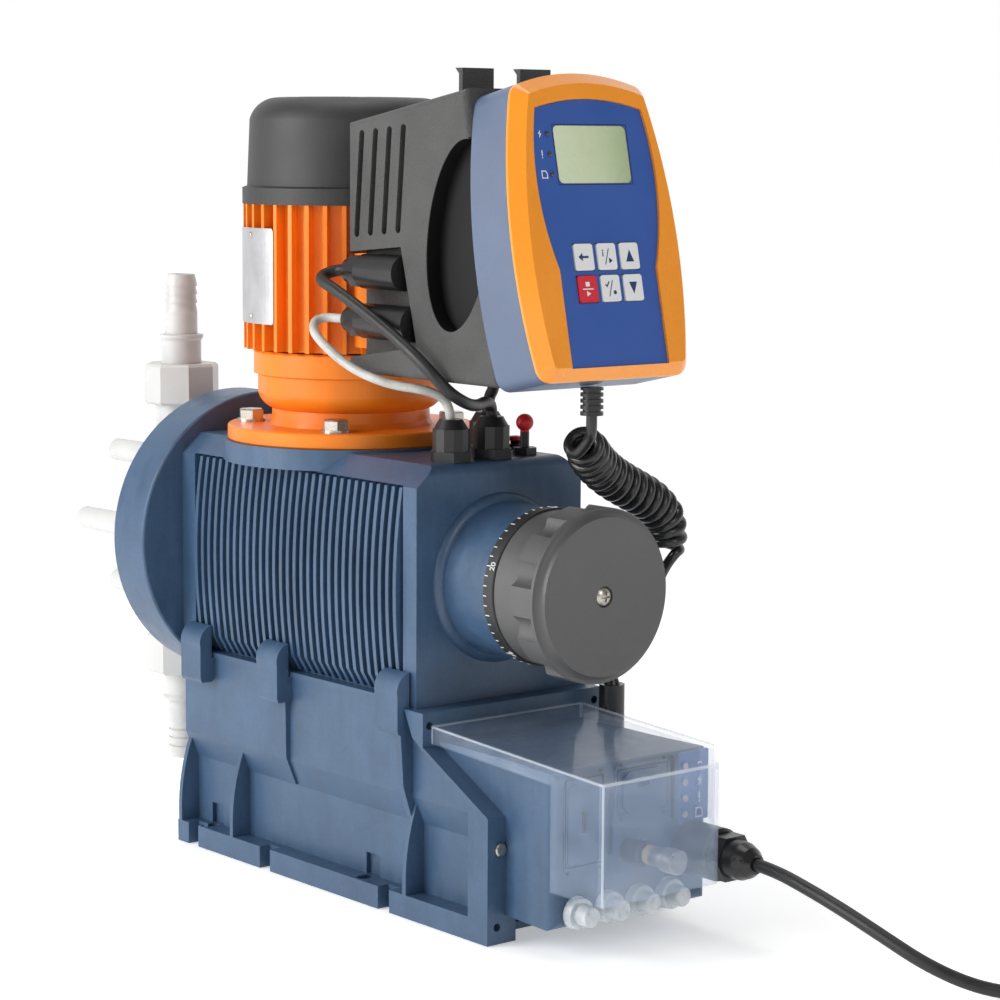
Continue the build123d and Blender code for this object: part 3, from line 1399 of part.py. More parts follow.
with BuildPart() as release_tabs:
    for side in (-1, 1):
        with BuildSketch(Plane.YZ.offset(side * tab_x - tab_wide / 2)):
            with BuildLine():
                Polyline(
                    (tab_y - tab_thick / 2, tab_pivot_z), (tab_y + tab_thick / 2, tab_pivot_z),
                    (tab_y + tab_thick / 2, tab_top - 3), (tab_y + tab_thick / 2 + tab_lip, tab_top),
                    (tab_y - tab_thick / 2, tab_top), close=True)
            make_face()
            with Locations((tab_y, tab_pivot_z)):
                Circle(tab_thick / 2)
        extrude(amount=tab_wide)
release_tabs.part.label = "release_tabs"
export_step(release_tabs.part, "parts/release_tabs.step")

with BuildPart() as lead_plugs:
    for z, wall_y in ((plug_z_high, high_wall_y), (plug_z_low, low_wall_y)):
        with BuildSketch(facing_rear(wall_y, z, plug_x)):
            Circle(plug_r)
        extrude(amount=plug_grip_y - wall_y)
        with BuildSketch(facing_rear(plug_grip_y, z, plug_x)):
            RegularPolygon(radius=plug_r - 1.2, side_count=6, major_radius=False)
        extrude(amount=plug_hex_long)
        with BuildSketch(facing_rear(plug_grip_y + plug_hex_long, z, plug_x)):
            Circle(plug_r - 2.5)
        extrude(amount=plug_end - plug_grip_y - plug_hex_long)
lead_plugs.part.label = "lead_plugs"
export_step(lead_plugs.part, "parts/lead_plugs.step")

# ------------------------------------------------------------ control unit
tilt_s = sin(radians(unit_tilt))
tilt_c = cos(radians(unit_tilt))


def unit_plane(rise=0.0):
    """A plane in the front of the control unit, raised along its normal."""
    return Plane(
        (0, unit_front_y - rise * tilt_c, unit_low + rise * tilt_s),
        x_dir=(1, 0, 0), z_dir=(0, -tilt_c, tilt_s))


def unit_outline():
    """Outline of the control unit, seen square to its front."""
    low = (unit_bottom_half, 0)
    high = (unit_top_half, unit_side_top)
    l1 = Line((-low[0], low[1]), low)
    l2 = ThreePointArc(low, (unit_mid_half, unit_side_mid), high)
    l3 = ThreePointArc(high, (0, unit_crown), (-high[0], high[1]))
    l4 = ThreePointArc(l3 @ 1, (-unit_mid_half, unit_side_mid), l1 @ 0)
    return l4


def panel_outline(gap=0.0):
    """Outline of the keypad panel, with a gap taken off all round."""
    low = (panel_low_half - gap, panel_low_v + gap)
    waist = (panel_low_half - gap, panel_waist_v)
    belly = (panel_belly_half - gap, panel_belly_v)
    top = (panel_top_half - gap, panel_top_v - gap)
    l1 = Line((-low[0], low[1]), low)
    l2 = Line(low, waist)
    l3 = ThreePointArc(waist, belly, top)
    l4 = ThreePointArc(top, (0, panel_crown_v - gap), (-top[0], top[1]))
    l5 = ThreePointArc((-top[0], top[1]), (-belly[0], belly[1]), (-waist[0], waist[1]))
    return Line(l5 @ 1, l1 @ 0)


with BuildPart() as unit_rear_shell:
    with BuildSketch(unit_plane(-front_shell)) as rear_outline:
        with BuildLine():
            unit_outline()
        make_face()
        fillet(rear_outline.vertices(), radius=unit_corner_r)
    extrude(amount=-unit_reach)
    with BuildSketch(Plane.YZ):
        with BuildLine():
            Polyline(
                (seam_y(unit_low - 40), unit_low - 40), (seam_y(500), 500), (40, 500), (40, unit_low - 40),
                close=True)
        make_face()
    extrude(amount=80, both=True, mode=Mode.SUBTRACT)
unit_rear_shell.part.label = "unit_rear_shell"
export_step(unit_rear_shell.part, "parts/unit_rear_shell.step")

key_centres = [(key_pitch_x * (c - 1), key_row_v + key_pitch_y * r) for r in (0, 1) for c in (0, 1, 2)]
with BuildPart() as unit_front_shell:
    with BuildSketch(unit_plane(-front_shell)) as front_outline:
        with BuildLine():
            unit_outline()
        make_face()
        fillet(front_outline.vertices(), radius=unit_corner_r)
    extrude(amount=front_shell)
    rim = unit_front_shell.faces().sort_by(Axis((0, 0, 0), (0, -tilt_c, tilt_s)))[-1].edges()
    chamfer(rim, length=front_bevel)
    # pocket of the keypad panel
    with BuildSketch(unit_plane(-panel_drop - panel_thick)) as panel_pocket:
        with BuildLine():
            panel_outline()
        make_face()
    extrude(amount=20, mode=Mode.SUBTRACT)
    with BuildSketch(unit_plane(-panel_drop - panel_thick)):
        with Locations(*key_centres):
            Rectangle(key_wide + 0.6, key_high + 0.6)
    extrude(amount=-key_deep - key_travel - 0.2, mode=Mode.SUBTRACT)
unit_front_shell.part.label = "unit_front_shell"
export_step(unit_front_shell.part, "parts/unit_front_shell.step")

with BuildPart() as keypad_panel:
    with BuildSketch(unit_plane(-panel_drop - panel_thick)):
        with BuildLine():
            panel_outline(seat_gap)
        make_face()
    extrude(amount=panel_thick)
    with BuildSketch(unit_plane(-panel_drop - panel_thick)):
        with Locations(*key_centres):
            Rectangle(key_wide + 0.6, key_high + 0.6)
        with Locations((0, (lcd_low_v + lcd_high_v) / 2)):
            RectangleRounded(2 * lcd_half, lcd_high_v - lcd_low_v, 3)
    extrude(amount=panel_thick, mode=Mode.SUBTRACT)
    with BuildSketch(unit_plane(-panel_drop)):
        with Locations(*[(led_x, v) for v in led_vs]):
            Circle(led_r)
    extrude(amount=led_rise)
keypad_panel.part.label = "keypad_panel"
export_step(keypad_panel.part, "parts/keypad_panel.step")

with BuildPart() as display_window:
    with BuildSketch(unit_plane(-panel_drop - panel_thick)):
        with Locations((0, (lcd_low_v + lcd_high_v) / 2)):
            RectangleRounded(2 * (lcd_half - seat_gap), lcd_high_v - lcd_low_v - 2 * seat_gap, 3)
    extrude(amount=panel_thick - 0.2)
display_window.part.label = "display_window"
export_step(display_window.part, "parts/display_window.step")

key_names = ("start", "enter", "down", "escape", "info", "up")
for key_name, centre in zip(key_names, key_centres):
    with BuildPart() as key:
        with BuildSketch(unit_plane(-panel_drop - panel_thick - key_deep)):
            with Locations(centre):
                RectangleRounded(key_wide, key_high, 1.5)
        extrude(amount=key_deep + panel_thick + key_rise)
    key.part.label = f"key_{key_name}"
    export_step(key.part, f"parts/key_{key_name}.step")

# ----------------------------------------------------- glands on the housing
with BuildPart() as top_glands:
    for (x, y), hole_r in zip(gland_xys, (grey_r, lead_r, lead_r)):
        with BuildSketch(level(gear_top, x, y)):
            RegularPolygon(radius=gland_hex_af / 2, side_count=6, major_radius=False)
        extrude(amount=gland_hex_high)
        with BuildSketch(level(gear_top + gland_hex_high, x, y)):
            RegularPolygon(radius=gland_nut_r, side_count=12, major_radius=False)
        extrude(amount=gland_high - gland_hex_high - gland_dome_high)
        with BuildSketch(level(gear_top + gland_high - gland_dome_high, x, y)):
            Circle(gland_nut_r - 0.4)
        extrude(amount=gland_dome_high, taper=30)
        with BuildSketch(level(gear_top + gland_high - gland_hole_deep, x, y)):
            Circle(hole_r + seat_gap)
        extrude(amount=gland_hole_deep + 1, mode=Mode.SUBTRACT)
    with BuildSketch(level(gear_top, vent_plug_x, vent_plug_y)):
        RegularPolygon(radius=6, side_count=6, major_radius=False)
    extrude(amount=4)
    with BuildSketch(level(gear_top + 4, vent_plug_x, vent_plug_y)):
        Circle(2.5)
    extrude(amount=10)
    with Locations((vent_plug_x, vent_plug_y, gear_top + 17.5)):
        Sphere(4.8)
top_glands.part.label = "top_glands"
export_step(top_glands.part, "parts/top_glands.step")


# --------------------------------------------------------- leads and cords
def cord_path(points):
    """Straight runs joined by tangent arcs, each as large as its runs allow."""
    stops = [Vector(*point) for point in points]
    radii = []
    for before, at, after in zip(stops, stops[1:], stops[2:]):
        half_turn = radians((at - before).get_angle(after - at)) / 2
        shorter = min((at - before).length, (after - at).length)
        radii.append(0.45 * shorter / tan(half_turn))
    print("arc radii", [round(radius, 1) for radius in radii])
    FilletPolyline(*stops, radius=radii)


def start_plane(points):
    """A plane at the first point of a route, square to its first run."""
    return Plane(points[0], z_dir=Vector(*points[1]) - Vector(*points[0]))


for name, points, radius in (
        ("power_lead", power_route, lead_r), ("signal_lead", signal_route, grey_r),
        ("link_lead", link_route, lead_r), ("mains_cable", mains_route, cable_r)):
    with BuildPart() as lead:
        with BuildLine():
            cord_path(points)
        with BuildSketch(start_plane(points)):
            Circle(radius)
        sweep()
    lead.part.label = name
    export_step(lead.part, f"parts/{name}.step")

with BuildPart() as cord_boot:
    with BuildSketch(level(conv_low - boot_long, 0, boot_y)):
        Circle(boot_r)
    extrude(amount=boot_long - 0.6)
    for i in range(boot_groove_count):
        with BuildSketch(level(conv_low - boot_long + 2 + i * boot_groove_pitch, 0, boot_y)):
            Circle(boot_r + 1)
            Circle(boot_r - 1.3, mode=Mode.SUBTRACT)
        extrude(amount=1.4, mode=Mode.SUBTRACT)
cord_boot.part.label = "cord_boot"
export_step(cord_boot.part, "parts/cord_boot.step")

with BuildPart() as curly_cord:
    with BuildLine():
        cord_path(curl_start_route)
    with BuildSketch(start_plane(curl_start_route)):
        Circle(cord_r)
    sweep()
    with BuildLine():
        cord_path(curl_route)
    with BuildSketch(start_plane(curl_route)):
        Circle(coil_r)
    sweep()
    with BuildLine():
        cord_path(curl_end_route)
    with BuildSketch(start_plane(curl_end_route)):
        Circle(cord_r)
    sweep()
curly_cord.part.label = "curly_cord"
export_step(curly_cord.part, "parts/curly_cord.step")

with BuildPart() as cord_plug:
    with BuildSketch(level(part_low_z, cord_plug_x, cord_plug_y)):
        Circle(cord_plug_r)
    extrude(amount=cord_plug_top - part_low_z)
    with BuildSketch(level(cord_plug_top, cord_plug_x, cord_plug_y)):
        Circle(cord_plug_r - 2.5)
    extrude(amount=3, taper=20)
    with BuildSketch(Plane.YZ):
        with BuildLine():
            Polyline(
                (part_top_y - box_flange, box_rear_top - 2), (part_low_y - box_flange, part_low_z),
                (part_low_y - box_flange, part_low_z - 5), (part_top_y, part_low_z - 5),
                (part_top_y, box_rear_top - 2), close=True)
        make_face()
    extrude(amount=foot_half + 10, both=True, mode=Mode.SUBTRACT)
cord_plug.part.label = "cord_plug"
export_step(cord_plug.part, "parts/cord_plug.step")

with BuildPart() as mains_coil:
    with BuildSketch(level(0, mains_coil_x, mains_coil_y)):
        Circle(mains_coil_r + coil_half_wide)
        Circle(mains_coil_r - coil_half_wide, mode=Mode.SUBTRACT)
    extrude(amount=coil_high)
    coil_rims = mains_coil.faces().filter_by(Axis.Z).edges()
    fillet(coil_rims, radius=cable_r - 0.4)
mains_coil.part.label = "mains_coil"
export_step(mains_coil.part, "parts/mains_coil.step")

with BuildPart() as mains_plug:
    plug_start = mains_coil_x - plug_offset
    plug_y = mains_coil_y - mains_coil_r - coil_half_wide + cable_r
    with BuildSketch(Plane.YZ.offset(plug_start)):
        with Locations((plug_y, plug_axis_z)):
            RectangleRounded(plug_wide, 2 * plug_axis_z, 8)
    extrude(amount=-plug_long)
    with BuildSketch(Plane.YZ.offset(plug_start)):
        with Locations((plug_y, plug_cord_z)):
            Circle(7)
    extrude(amount=plug_boot_long, taper=5.5)
    with BuildSketch(Plane.YZ.offset(plug_start - plug_long)):
        with Locations((plug_y, plug_axis_z)):
            with GridLocations(plug_pin_pitch, 1, 2, 1):
                Circle(plug_pin_r)
    extrude(amount=-plug_pin_long)
mains_plug.part.label = "mains_plug"
export_step(mains_plug.part, "parts/mains_plug.step")
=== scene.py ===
"""Looks of a motor-driven diaphragm metering pump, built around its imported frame. Metres."""
from math import cos, pi, radians, sin

import bmesh
import bpy
from mathutils import Matrix, Vector


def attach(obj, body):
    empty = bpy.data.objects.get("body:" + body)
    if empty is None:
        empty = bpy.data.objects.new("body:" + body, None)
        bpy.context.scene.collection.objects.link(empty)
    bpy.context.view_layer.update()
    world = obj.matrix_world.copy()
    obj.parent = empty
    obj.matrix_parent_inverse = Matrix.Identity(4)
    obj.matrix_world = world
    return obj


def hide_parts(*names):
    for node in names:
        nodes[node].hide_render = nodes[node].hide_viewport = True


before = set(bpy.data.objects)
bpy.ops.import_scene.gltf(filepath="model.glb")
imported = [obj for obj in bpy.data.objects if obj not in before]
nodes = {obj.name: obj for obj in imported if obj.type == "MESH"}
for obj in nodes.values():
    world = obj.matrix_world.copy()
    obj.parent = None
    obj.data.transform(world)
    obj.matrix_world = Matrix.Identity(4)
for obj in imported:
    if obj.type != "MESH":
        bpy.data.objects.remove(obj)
scene = bpy.context.scene
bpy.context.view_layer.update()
MM = 0.001

# ---------------------------------------------------------------- gear housing, base, box and head disc
# Glass-fibre filled polymer mouldings in slate blue, bolted into one stiff block. The short fibres show as
# pale clouds and faint upright flow streaks, and the tool leaves a fine spark-eroded grain.
housing_pieces = ("base_foot", "gear_housing", "terminal_box", "head_disc")
slate_blue = (0.044, 0.088, 0.160)


class Sock:
    """A shader socket that takes part in sums as a number does."""

    def __init__(self, tree, socket=None):
        self.tree = tree
        self.socket = socket

    def node(self, kind, settings=(), sockets=(), output=0):
        """Adds a node, sets its settings, then values or links its sockets, and wraps one output."""
        made = self.tree.nodes.new(kind)
        for key, value in settings:
            setattr(made, key, value)
        for key, value in sockets:
            if isinstance(value, Sock):
                self.tree.links.new(value.socket, made.inputs[key])
            else:
                made.inputs[key].default_value = value
        return Sock(self.tree, made.outputs[output])

    def sum_of(self, operation, first, second):
        return self.node("ShaderNodeMath", [("operation", operation)], [(0, first), (1, second)])

    def __add__(self, other):
        return self.sum_of("ADD", self, other)

    def __sub__(self, other):
        return self.sum_of("SUBTRACT", self, other)

    def __mul__(self, other):
        return self.sum_of("MULTIPLY", self, other)

    def __lt__(self, other):
        return self.sum_of("LESS_THAN", self, other)

    __radd__ = __add__
    __rmul__ = __mul__

    def __rsub__(self, other):
        return self.sum_of("SUBTRACT", other, self)

    def noise(self, scale, detail=4.0, rough=0.5):
        """Noise at this many features a metre, stretched over nearly all of 0 to 1."""
        raw = self.node("ShaderNodeTexNoise", (), [
            ("Vector", self), ("Scale", scale), ("Detail", detail), ("Roughness", rough)])
        return raw.span(0.3, 0.7, 0.0, 1.0)

    def span(self, low, high, first, last):
        """This value carried from low..high over to first..last."""
        return self.node("ShaderNodeMapRange", (), [
            ("Value", self), ("From Min", low), ("From Max", high), ("To Min", first), ("To Max", last)])

    def stretched(self, x, y, z):
        return self.node("ShaderNodeMapping", (), [("Vector", self), ("Scale", (x, y, z))])

    def blend(self, first, second):
        """A colour between two, by this value."""
        return self.node("ShaderNodeMix", [("data_type", "RGBA")], [(0, self), (6, first), (7, second)],
                         output=2)

    def raised(self, strength, height):
        """A surface normal from this relief."""
        return self.node("ShaderNodeBump", (), [
            ("Height", self), ("Strength", strength), ("Distance", height)])


def new_finish(name):
    """A material, its Principled shader, and a place socket in the pump's own metres."""
    made = bpy.data.materials.new(name)
    made.use_nodes = True
    tree = made.node_tree
    place = Sock(tree).node("ShaderNodeTexCoord", output=3)
    return made, tree.nodes["Principled BSDF"], place


def feed(shader, looks):
    """Links or sets the sockets of a Principled shader."""
    for key, value in looks.items():
        if isinstance(value, Sock):
            value.tree.links.new(value.socket, shader.inputs[key])
        else:
            shader.inputs[key].default_value = value


def tint(colour, factor=1.0):
    """A colour made lighter or darker."""
    return (colour[0] * factor, colour[1] * factor, colour[2] * factor, 1.0)


def give(finish, names):
    """Puts one finish on CAD nodes."""
    for name in names:
        nodes[name].data.materials.clear()
        nodes[name].data.materials.append(finish)


def fibre_polymer(name, colour):
    """Fibre-filled polymer: clouds, upright flow streaks, fine grain."""
    made, shader, place = new_finish(name)
    cloud = place.noise(26.0, 5.0, 0.62)
    streak = place.stretched(1.0, 1.0, 0.14).noise(150.0, 3.0, 0.6)
    fibre = place.noise(520.0, 2.0, 0.6)
    pale = cloud * 0.5 + streak * 0.3 + fibre * 0.2
    grain = place.noise(1500.0, 3.0, 0.6)
    feed(shader, {
        "Base Color": pale.blend(tint(colour, 0.72), tint(colour, 1.34)),
        "Roughness": streak.span(0.0, 1.0, 0.30, 0.46),
        "Normal": (grain * 0.5 + cloud * 0.5).raised(0.3, 0.00025)})
    return made


give(fibre_polymer("slate_polymer", slate_blue), housing_pieces)

# ---------------------------------------------------------------- motor body and its flange
# Cast aluminium with bright orange top coat, thick enough to round the fin edges. The coat pools slightly,
# so its gloss changes slowly over the bell and the flange.
motor_orange = (0.860, 0.215, 0.010)


def top_coat(name, colour, rough):
    """Sprayed paint on a casting."""
    made, shader, place = new_finish(name)
    cloud = place.noise(34.0, 4.0, 0.55)
    peel = place.noise(620.0, 2.0, 0.5)
    feed(shader, {
        "Base Color": cloud.blend(tint(colour, 0.90), tint(colour, 1.06)),
        "Roughness": cloud.span(0.0, 1.0, rough, rough + 0.12),
        "Normal": peel.raised(0.12, 0.0002),
        "Specular IOR Level": 0.3,
        "Coat Weight": 0.15,
        "Coat Roughness": 0.12})
    return made


give(top_coat("motor_coat", motor_orange, 0.36), ("motor_flange", "stator_housing"))

# ---------------------------------------------------------------- bolts, screws, shafts and springs
# Zinc-plated hexagon bolts and cross-head screws; turned and ground steel inside. The plating has a faint
# warm bloom, the ground parts show fine scratches along the way they were turned.
plated_pieces = ("flange_bolts", "cover_screws", "head_screws", "knob_screw")
ground_pieces = (
    "backplate", "push_rod", "eccentric_shaft", "adjusting_spindle", "rotor_shaft", "bearings",
    "return_spring", "discharge_ball", "suction_ball")


def bare_metal(name, colour, rough, scratch_stretch):
    """Plated or ground metal with fine scratches."""
    made, shader, place = new_finish(name)
    scratch = place.stretched(*scratch_stretch).noise(1700.0, 3.0, 0.7)
    bloom = place.noise(75.0, 3.0, 0.5)
    feed(shader, {
        "Base Color": bloom.blend(tint(colour, 0.82), tint(colour, 1.10)),
        "Metallic": 1.0,
        "Roughness": scratch.span(0.0, 1.0, rough - 0.06, rough + 0.14),
        "Normal": scratch.raised(0.12, 0.00008)})
    return made


zinc_plate = bare_metal("zinc_plate", (0.52, 0.49, 0.44), 0.28, (1.0, 1.0, 1.0))
give(zinc_plate, plated_pieces)
give(bare_metal("ground_steel", (0.56, 0.56, 0.57), 0.24, (1.0, 0.08, 1.0)), ground_pieces)
give(bare_metal("gear_bronze", (0.60, 0.42, 0.18), 0.32, (0.1, 1.0, 1.0)), ("worm_wheel",))

# ---------------------------------------------------------------- fan cowl
# Glass-filled black polyamide, slightly chalky from its mould, pushed over the motor's upper end. Air goes in
# through slots in its flat top, between low ribs, and near-black flat arcs laid on the top are painted shade
# for the inside of those slots.
cowl_grey = (0.024, 0.0235, 0.023)
motor_axis_y = 0.054
cowl_top_z = 0.434
slot_radii = (0.013, 0.021, 0.029, 0.037)
slot_width = 0.0032
slot_groups = 6
spoke_half_angle = 5.0
slot_end_pull = 60 * MM
slot_rise = 0.00012


def moulded(name, colour, rough, mottle=0.12, grain=1500.0, depth=0.0002, coat=0.0):
    """Plain moulded plastic: faint clouds, uneven gloss, fine grain."""
    made, shader, place = new_finish(name)
    cloud = place.noise(28.0, 5.0, 0.6)
    fleck = place.noise(700.0, 2.0, 0.5)
    skin = place.noise(grain, 3.0, 0.6)
    feed(shader, {
        "Base Color": (cloud * 0.7 + fleck * 0.3).blend(tint(colour, 1 - mottle), tint(colour, 1 + mottle)),
        "Roughness": cloud.span(0.0, 1.0, rough - 0.05, rough + 0.07),
        "Normal": skin.raised(0.3, depth),
        "Coat Weight": coat,
        "Coat Roughness": 0.06})
    return made


def marks(name, outlines, corner, right, up, rise, finish, body):
    """Thin flat shapes on a face: outlines in metres along right and up, standing out by a small rise."""
    right, up = Vector(right).normalized(), Vector(up).normalized()
    out = right.cross(up) * rise
    shape = bmesh.new()
    for outline in outlines:
        low = [shape.verts.new(Vector(corner) + right * x + up * y - out) for x, y in outline]
        high = [shape.verts.new(vertex.co + 2 * out) for vertex in low]
        shape.faces.new(high)
        shape.faces.new(list(reversed(low)))
        for i, vertex in enumerate(low):
            j = (i + 1) % len(low)
            shape.faces.new((vertex, low[j], high[j], high[i]))
    bmesh.ops.recalc_face_normals(shape, faces=shape.faces)
    mesh = bpy.data.meshes.new(name)
    shape.to_mesh(mesh)
    mesh.materials.append(finish)
    made = bpy.data.objects.new(name, mesh)
    scene.collection.objects.link(made)
    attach(made, body)
    return made


def arc_points(radius, first, last, steps, centre=(0.0, 0.0)):
    """Points along an arc, angles in degrees."""
    angles = [radians(first + (last - first) * i / steps) for i in range(steps + 1)]
    return [(centre[0] + radius * cos(angle), centre[1] + radius * sin(angle)) for angle in angles]


def round_dot(radius, centre=(0.0, 0.0)):
    """The outline of a disc about centre, as a list of points."""
    return arc_points(radius, 0, 345, 23, centre)


give(moulded("cowl_plastic", cowl_grey, 0.50, mottle=0.18), ("fan_cowl",))
# Painted shade: the near-black arcs on the cowl top stand for the shade inside its air slots; the same dark
# finish also draws the box covers' joints.
slot_shade_and_joint_dark = moulded("slot_shade_and_joint_dark", (0.006, 0.006, 0.006), 0.7)
slot_shades = []
for radius in slot_radii:
    for i in range(slot_groups):
        group_angle = 360 / slot_groups
        first = group_angle * i + spoke_half_angle + slot_end_pull / radius
        last = group_angle * (i + 1) - spoke_half_angle - slot_end_pull / radius
        outer = arc_points(radius + slot_width / 2, first, last, 10)
        inner = arc_points(radius - slot_width / 2, last, first, 10)
        slot_shades.append(outer + inner)
marks("cowl_slot_shades", slot_shades, (0.0, motor_axis_y, cowl_top_z), (1, 0, 0), (0, 1, 0), slot_rise, slot_shade_and_joint_dark,
      "pump")

# ---------------------------------------------------------------- rating plate
# A blank aluminium plate bent to the motor's curve, held on the fins by two drive rivets. Its face is
# brushed upright, and its ends are cut in a little at the corners.
plate_r = 0.0612
plate_thick = 0.0006
plate_low = 0.309
plate_high = 0.362
plate_first = 148.0
plate_last = 189.0
plate_columns = 14
plate_finish, shader, place = new_finish("plate_aluminium")
brushed = place.stretched(1.0, 1.0, 0.03).noise(2600.0, 3.0, 0.7)
smudge = place.noise(70.0, 4.0, 0.6)
feed(shader, {
    "Base Color": smudge.blend((0.44, 0.44, 0.45, 1.0), (0.56, 0.56, 0.57, 1.0)),
    "Metallic": 0.85,
    "Roughness": brushed.span(0.0, 1.0, 0.26, 0.48),
    "Normal": brushed.raised(0.15, 0.0001)})
plate_shape = bmesh.new()
rows = []
for z, pull in ((plate_low, 1.2), (plate_low + 0.0015, 0.0), (plate_high - 0.0015, 0.0), (plate_high, 1.2)):
    row = []
    for i in range(plate_columns + 1):
        angle = radians(plate_first + pull + (plate_last - plate_first - 2 * pull) * i / plate_columns)
        row.append([plate_shape.verts.new((r * cos(angle), motor_axis_y + r * sin(angle), z))
                    for r in (plate_r, plate_r - plate_thick)])
    rows.append(row)
for low, high in zip(rows, rows[1:]):
    for i in range(plate_columns):
        plate_shape.faces.new((low[i][0], low[i + 1][0], high[i + 1][0], high[i][0]))
        plate_shape.faces.new((low[i][1], high[i][1], high[i + 1][1], low[i + 1][1]))
    for i in (0, plate_columns):
        plate_shape.faces.new((low[i][0], high[i][0], high[i][1], low[i][1]))
for row in (rows[0], rows[-1]):
    for i in range(plate_columns):
        plate_shape.faces.new((row[i][0], row[i + 1][0], row[i + 1][1], row[i][1]))
bmesh.ops.recalc_face_normals(plate_shape, faces=plate_shape.faces)
plate_mesh = bpy.data.meshes.new("rating_plate")
plate_shape.to_mesh(plate_mesh)
plate_mesh.materials.append(plate_finish)
rating_plate = bpy.data.objects.new("rating_plate", plate_mesh)
scene.collection.objects.link(rating_plate)
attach(rating_plate, "pump")


def turned(name, profile, foot, axis, finish, body, sides=32):
    """A round piece turned about its axis: profile is (radius, height above the foot) pairs."""
    shape = bmesh.new()
    rings = []
    for radius, height in profile:
        ring = [(radius * cos(2 * pi * i / sides), radius * sin(2 * pi * i / sides)) for i in range(sides)]
        rings.append([shape.verts.new((x, y, height)) for x, y in ring])
    for low, high in zip(rings, rings[1:]):
        for i in range(sides):
            j = (i + 1) % sides
            shape.faces.new((low[i], low[j], high[j], high[i]))
    shape.faces.new(list(reversed(rings[0])))
    shape.faces.new(rings[-1])
    for face in shape.faces:
        face.smooth = len(face.verts) == 4
    turn = Vector(axis).to_track_quat("Z", "Y").to_matrix().to_4x4()
    bmesh.ops.transform(shape, matrix=Matrix.Translation(foot) @ turn, verts=shape.verts)
    mesh = bpy.data.meshes.new(name)
    shape.to_mesh(mesh)
    mesh.materials.append(finish)
    made = bpy.data.objects.new(name, mesh)
    scene.collection.objects.link(made)
    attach(made, body)
    return made


rivet_profile = [(0.0018, -0.0008), (0.0018, 0.0002), (0.0015, 0.0006), (0.0008, 0.0009)]
rivet_angle = radians(0.5 * (plate_first + plate_last))
rivet_out = Vector((cos(rivet_angle), sin(rivet_angle), 0.0))
for name, z in (("plate_rivet_low", plate_low + 0.004), ("plate_rivet_high", plate_high - 0.004)):
    turned(name, rivet_profile, Vector((0.0, motor_axis_y, z)) + rivet_out * plate_r, rivet_out, zinc_plate,
           "pump", sides=20)

# ---------------------------------------------------------------- drive electronics housing
# Charcoal fibre-filled housing on the motor's side, with a coarse spark-eroded grain, and two release tabs
# that spring into the control unit's shell. The two grip bowls are smooth black without grain, and their
# near-black colour also holds painted shade for their depth.
charcoal = (0.074, 0.074, 0.073)
grip_black_and_shade = (0.006, 0.006, 0.006)
grip_y = -0.105
grip_z = 0.362
grip_lean = radians(10.0)
grip_half_long = 0.051
grip_half_wide = 0.026
side_x = 0.0494
housing_skin, shader, place = new_finish("grained_charcoal")
cloud = place.noise(28.0, 5.0, 0.6)
grain = place.noise(900.0, 3.0, 0.6)
axes = [place.node("ShaderNodeSeparateXYZ", (), [(0, place)], output=i) for i in range(3)]
y_off = axes[1] - grip_y
z_off = axes[2] - grip_z
long_way = (z_off * cos(grip_lean) - y_off * sin(grip_lean)) * (1 / grip_half_long)
wide_way = (y_off * cos(grip_lean) + z_off * sin(grip_lean)) * (1 / grip_half_wide)
in_oval = long_way * long_way + wide_way * wide_way < 1.0
below_side = axes[0] * axes[0] < side_x ** 2
in_shaded_grip = in_oval * below_side
# Painted shade: inside the grip bowls the colour drops to near black, for their own black and for the shade
# in them.
feed(shader, {
    "Base Color": in_shaded_grip.blend(
        (cloud * 0.6 + grain * 0.4).blend(tint(charcoal, 0.66), tint(charcoal, 1.30)),
        cloud.blend(tint(grip_black_and_shade, 0.8), tint(grip_black_and_shade, 1.2))),
    "Roughness": cloud.span(0.0, 1.0, 0.42, 0.54) + in_shaded_grip * 0.08,
    "Normal": (grain * (1 - in_shaded_grip)).raised(0.35, 0.0007),
    "Specular IOR Level": 0.22})
give(housing_skin, ("converter_housing", "release_tabs"))
gloss_black = moulded("gloss_black", (0.014, 0.014, 0.015), 0.28, mottle=0.2, grain=2400.0, depth=0.00006)
give(gloss_black, ("lead_plugs", "fan", "cord_boot", "cord_plug", "mains_connector", "mains_plug"))

# ---------------------------------------------------------------- control unit
# Two shells of smooth enamelled plastic, the front one orange and the rear one blue-grey, round a royal blue
# keypad foil with a reflective display.
unit_orange = (0.900, 0.305, 0.020)
unit_blue = (0.100, 0.135, 0.215)
foil_blue = (0.030, 0.092, 0.355)
tilt = radians(12.0)
unit_front_y = -0.177
unit_low_z = 0.292
unit_right = (1.0, 0.0, 0.0)
unit_up = (0.0, sin(tilt), cos(tilt))


def on_unit(x, v, rise):
    """A point of the tilted front, from millimetres across, up and out of it."""
    return Vector((
        x * MM, unit_front_y + (v * sin(tilt) - rise * cos(tilt)) * MM,
        unit_low_z + (v * cos(tilt) + rise * sin(tilt)) * MM))


give(moulded("orange_enamel", unit_orange, 0.26, mottle=0.04, grain=2200.0, depth=0.00006, coat=0.35),
     ("unit_front_shell",))
give(moulded("unit_blue_grey", unit_blue, 0.38, mottle=0.08, grain=1900.0), ("unit_rear_shell",))
give(moulded("foil_blue", foil_blue, 0.36, mottle=0.04, grain=2600.0, depth=0.00004), ("keypad_panel",))
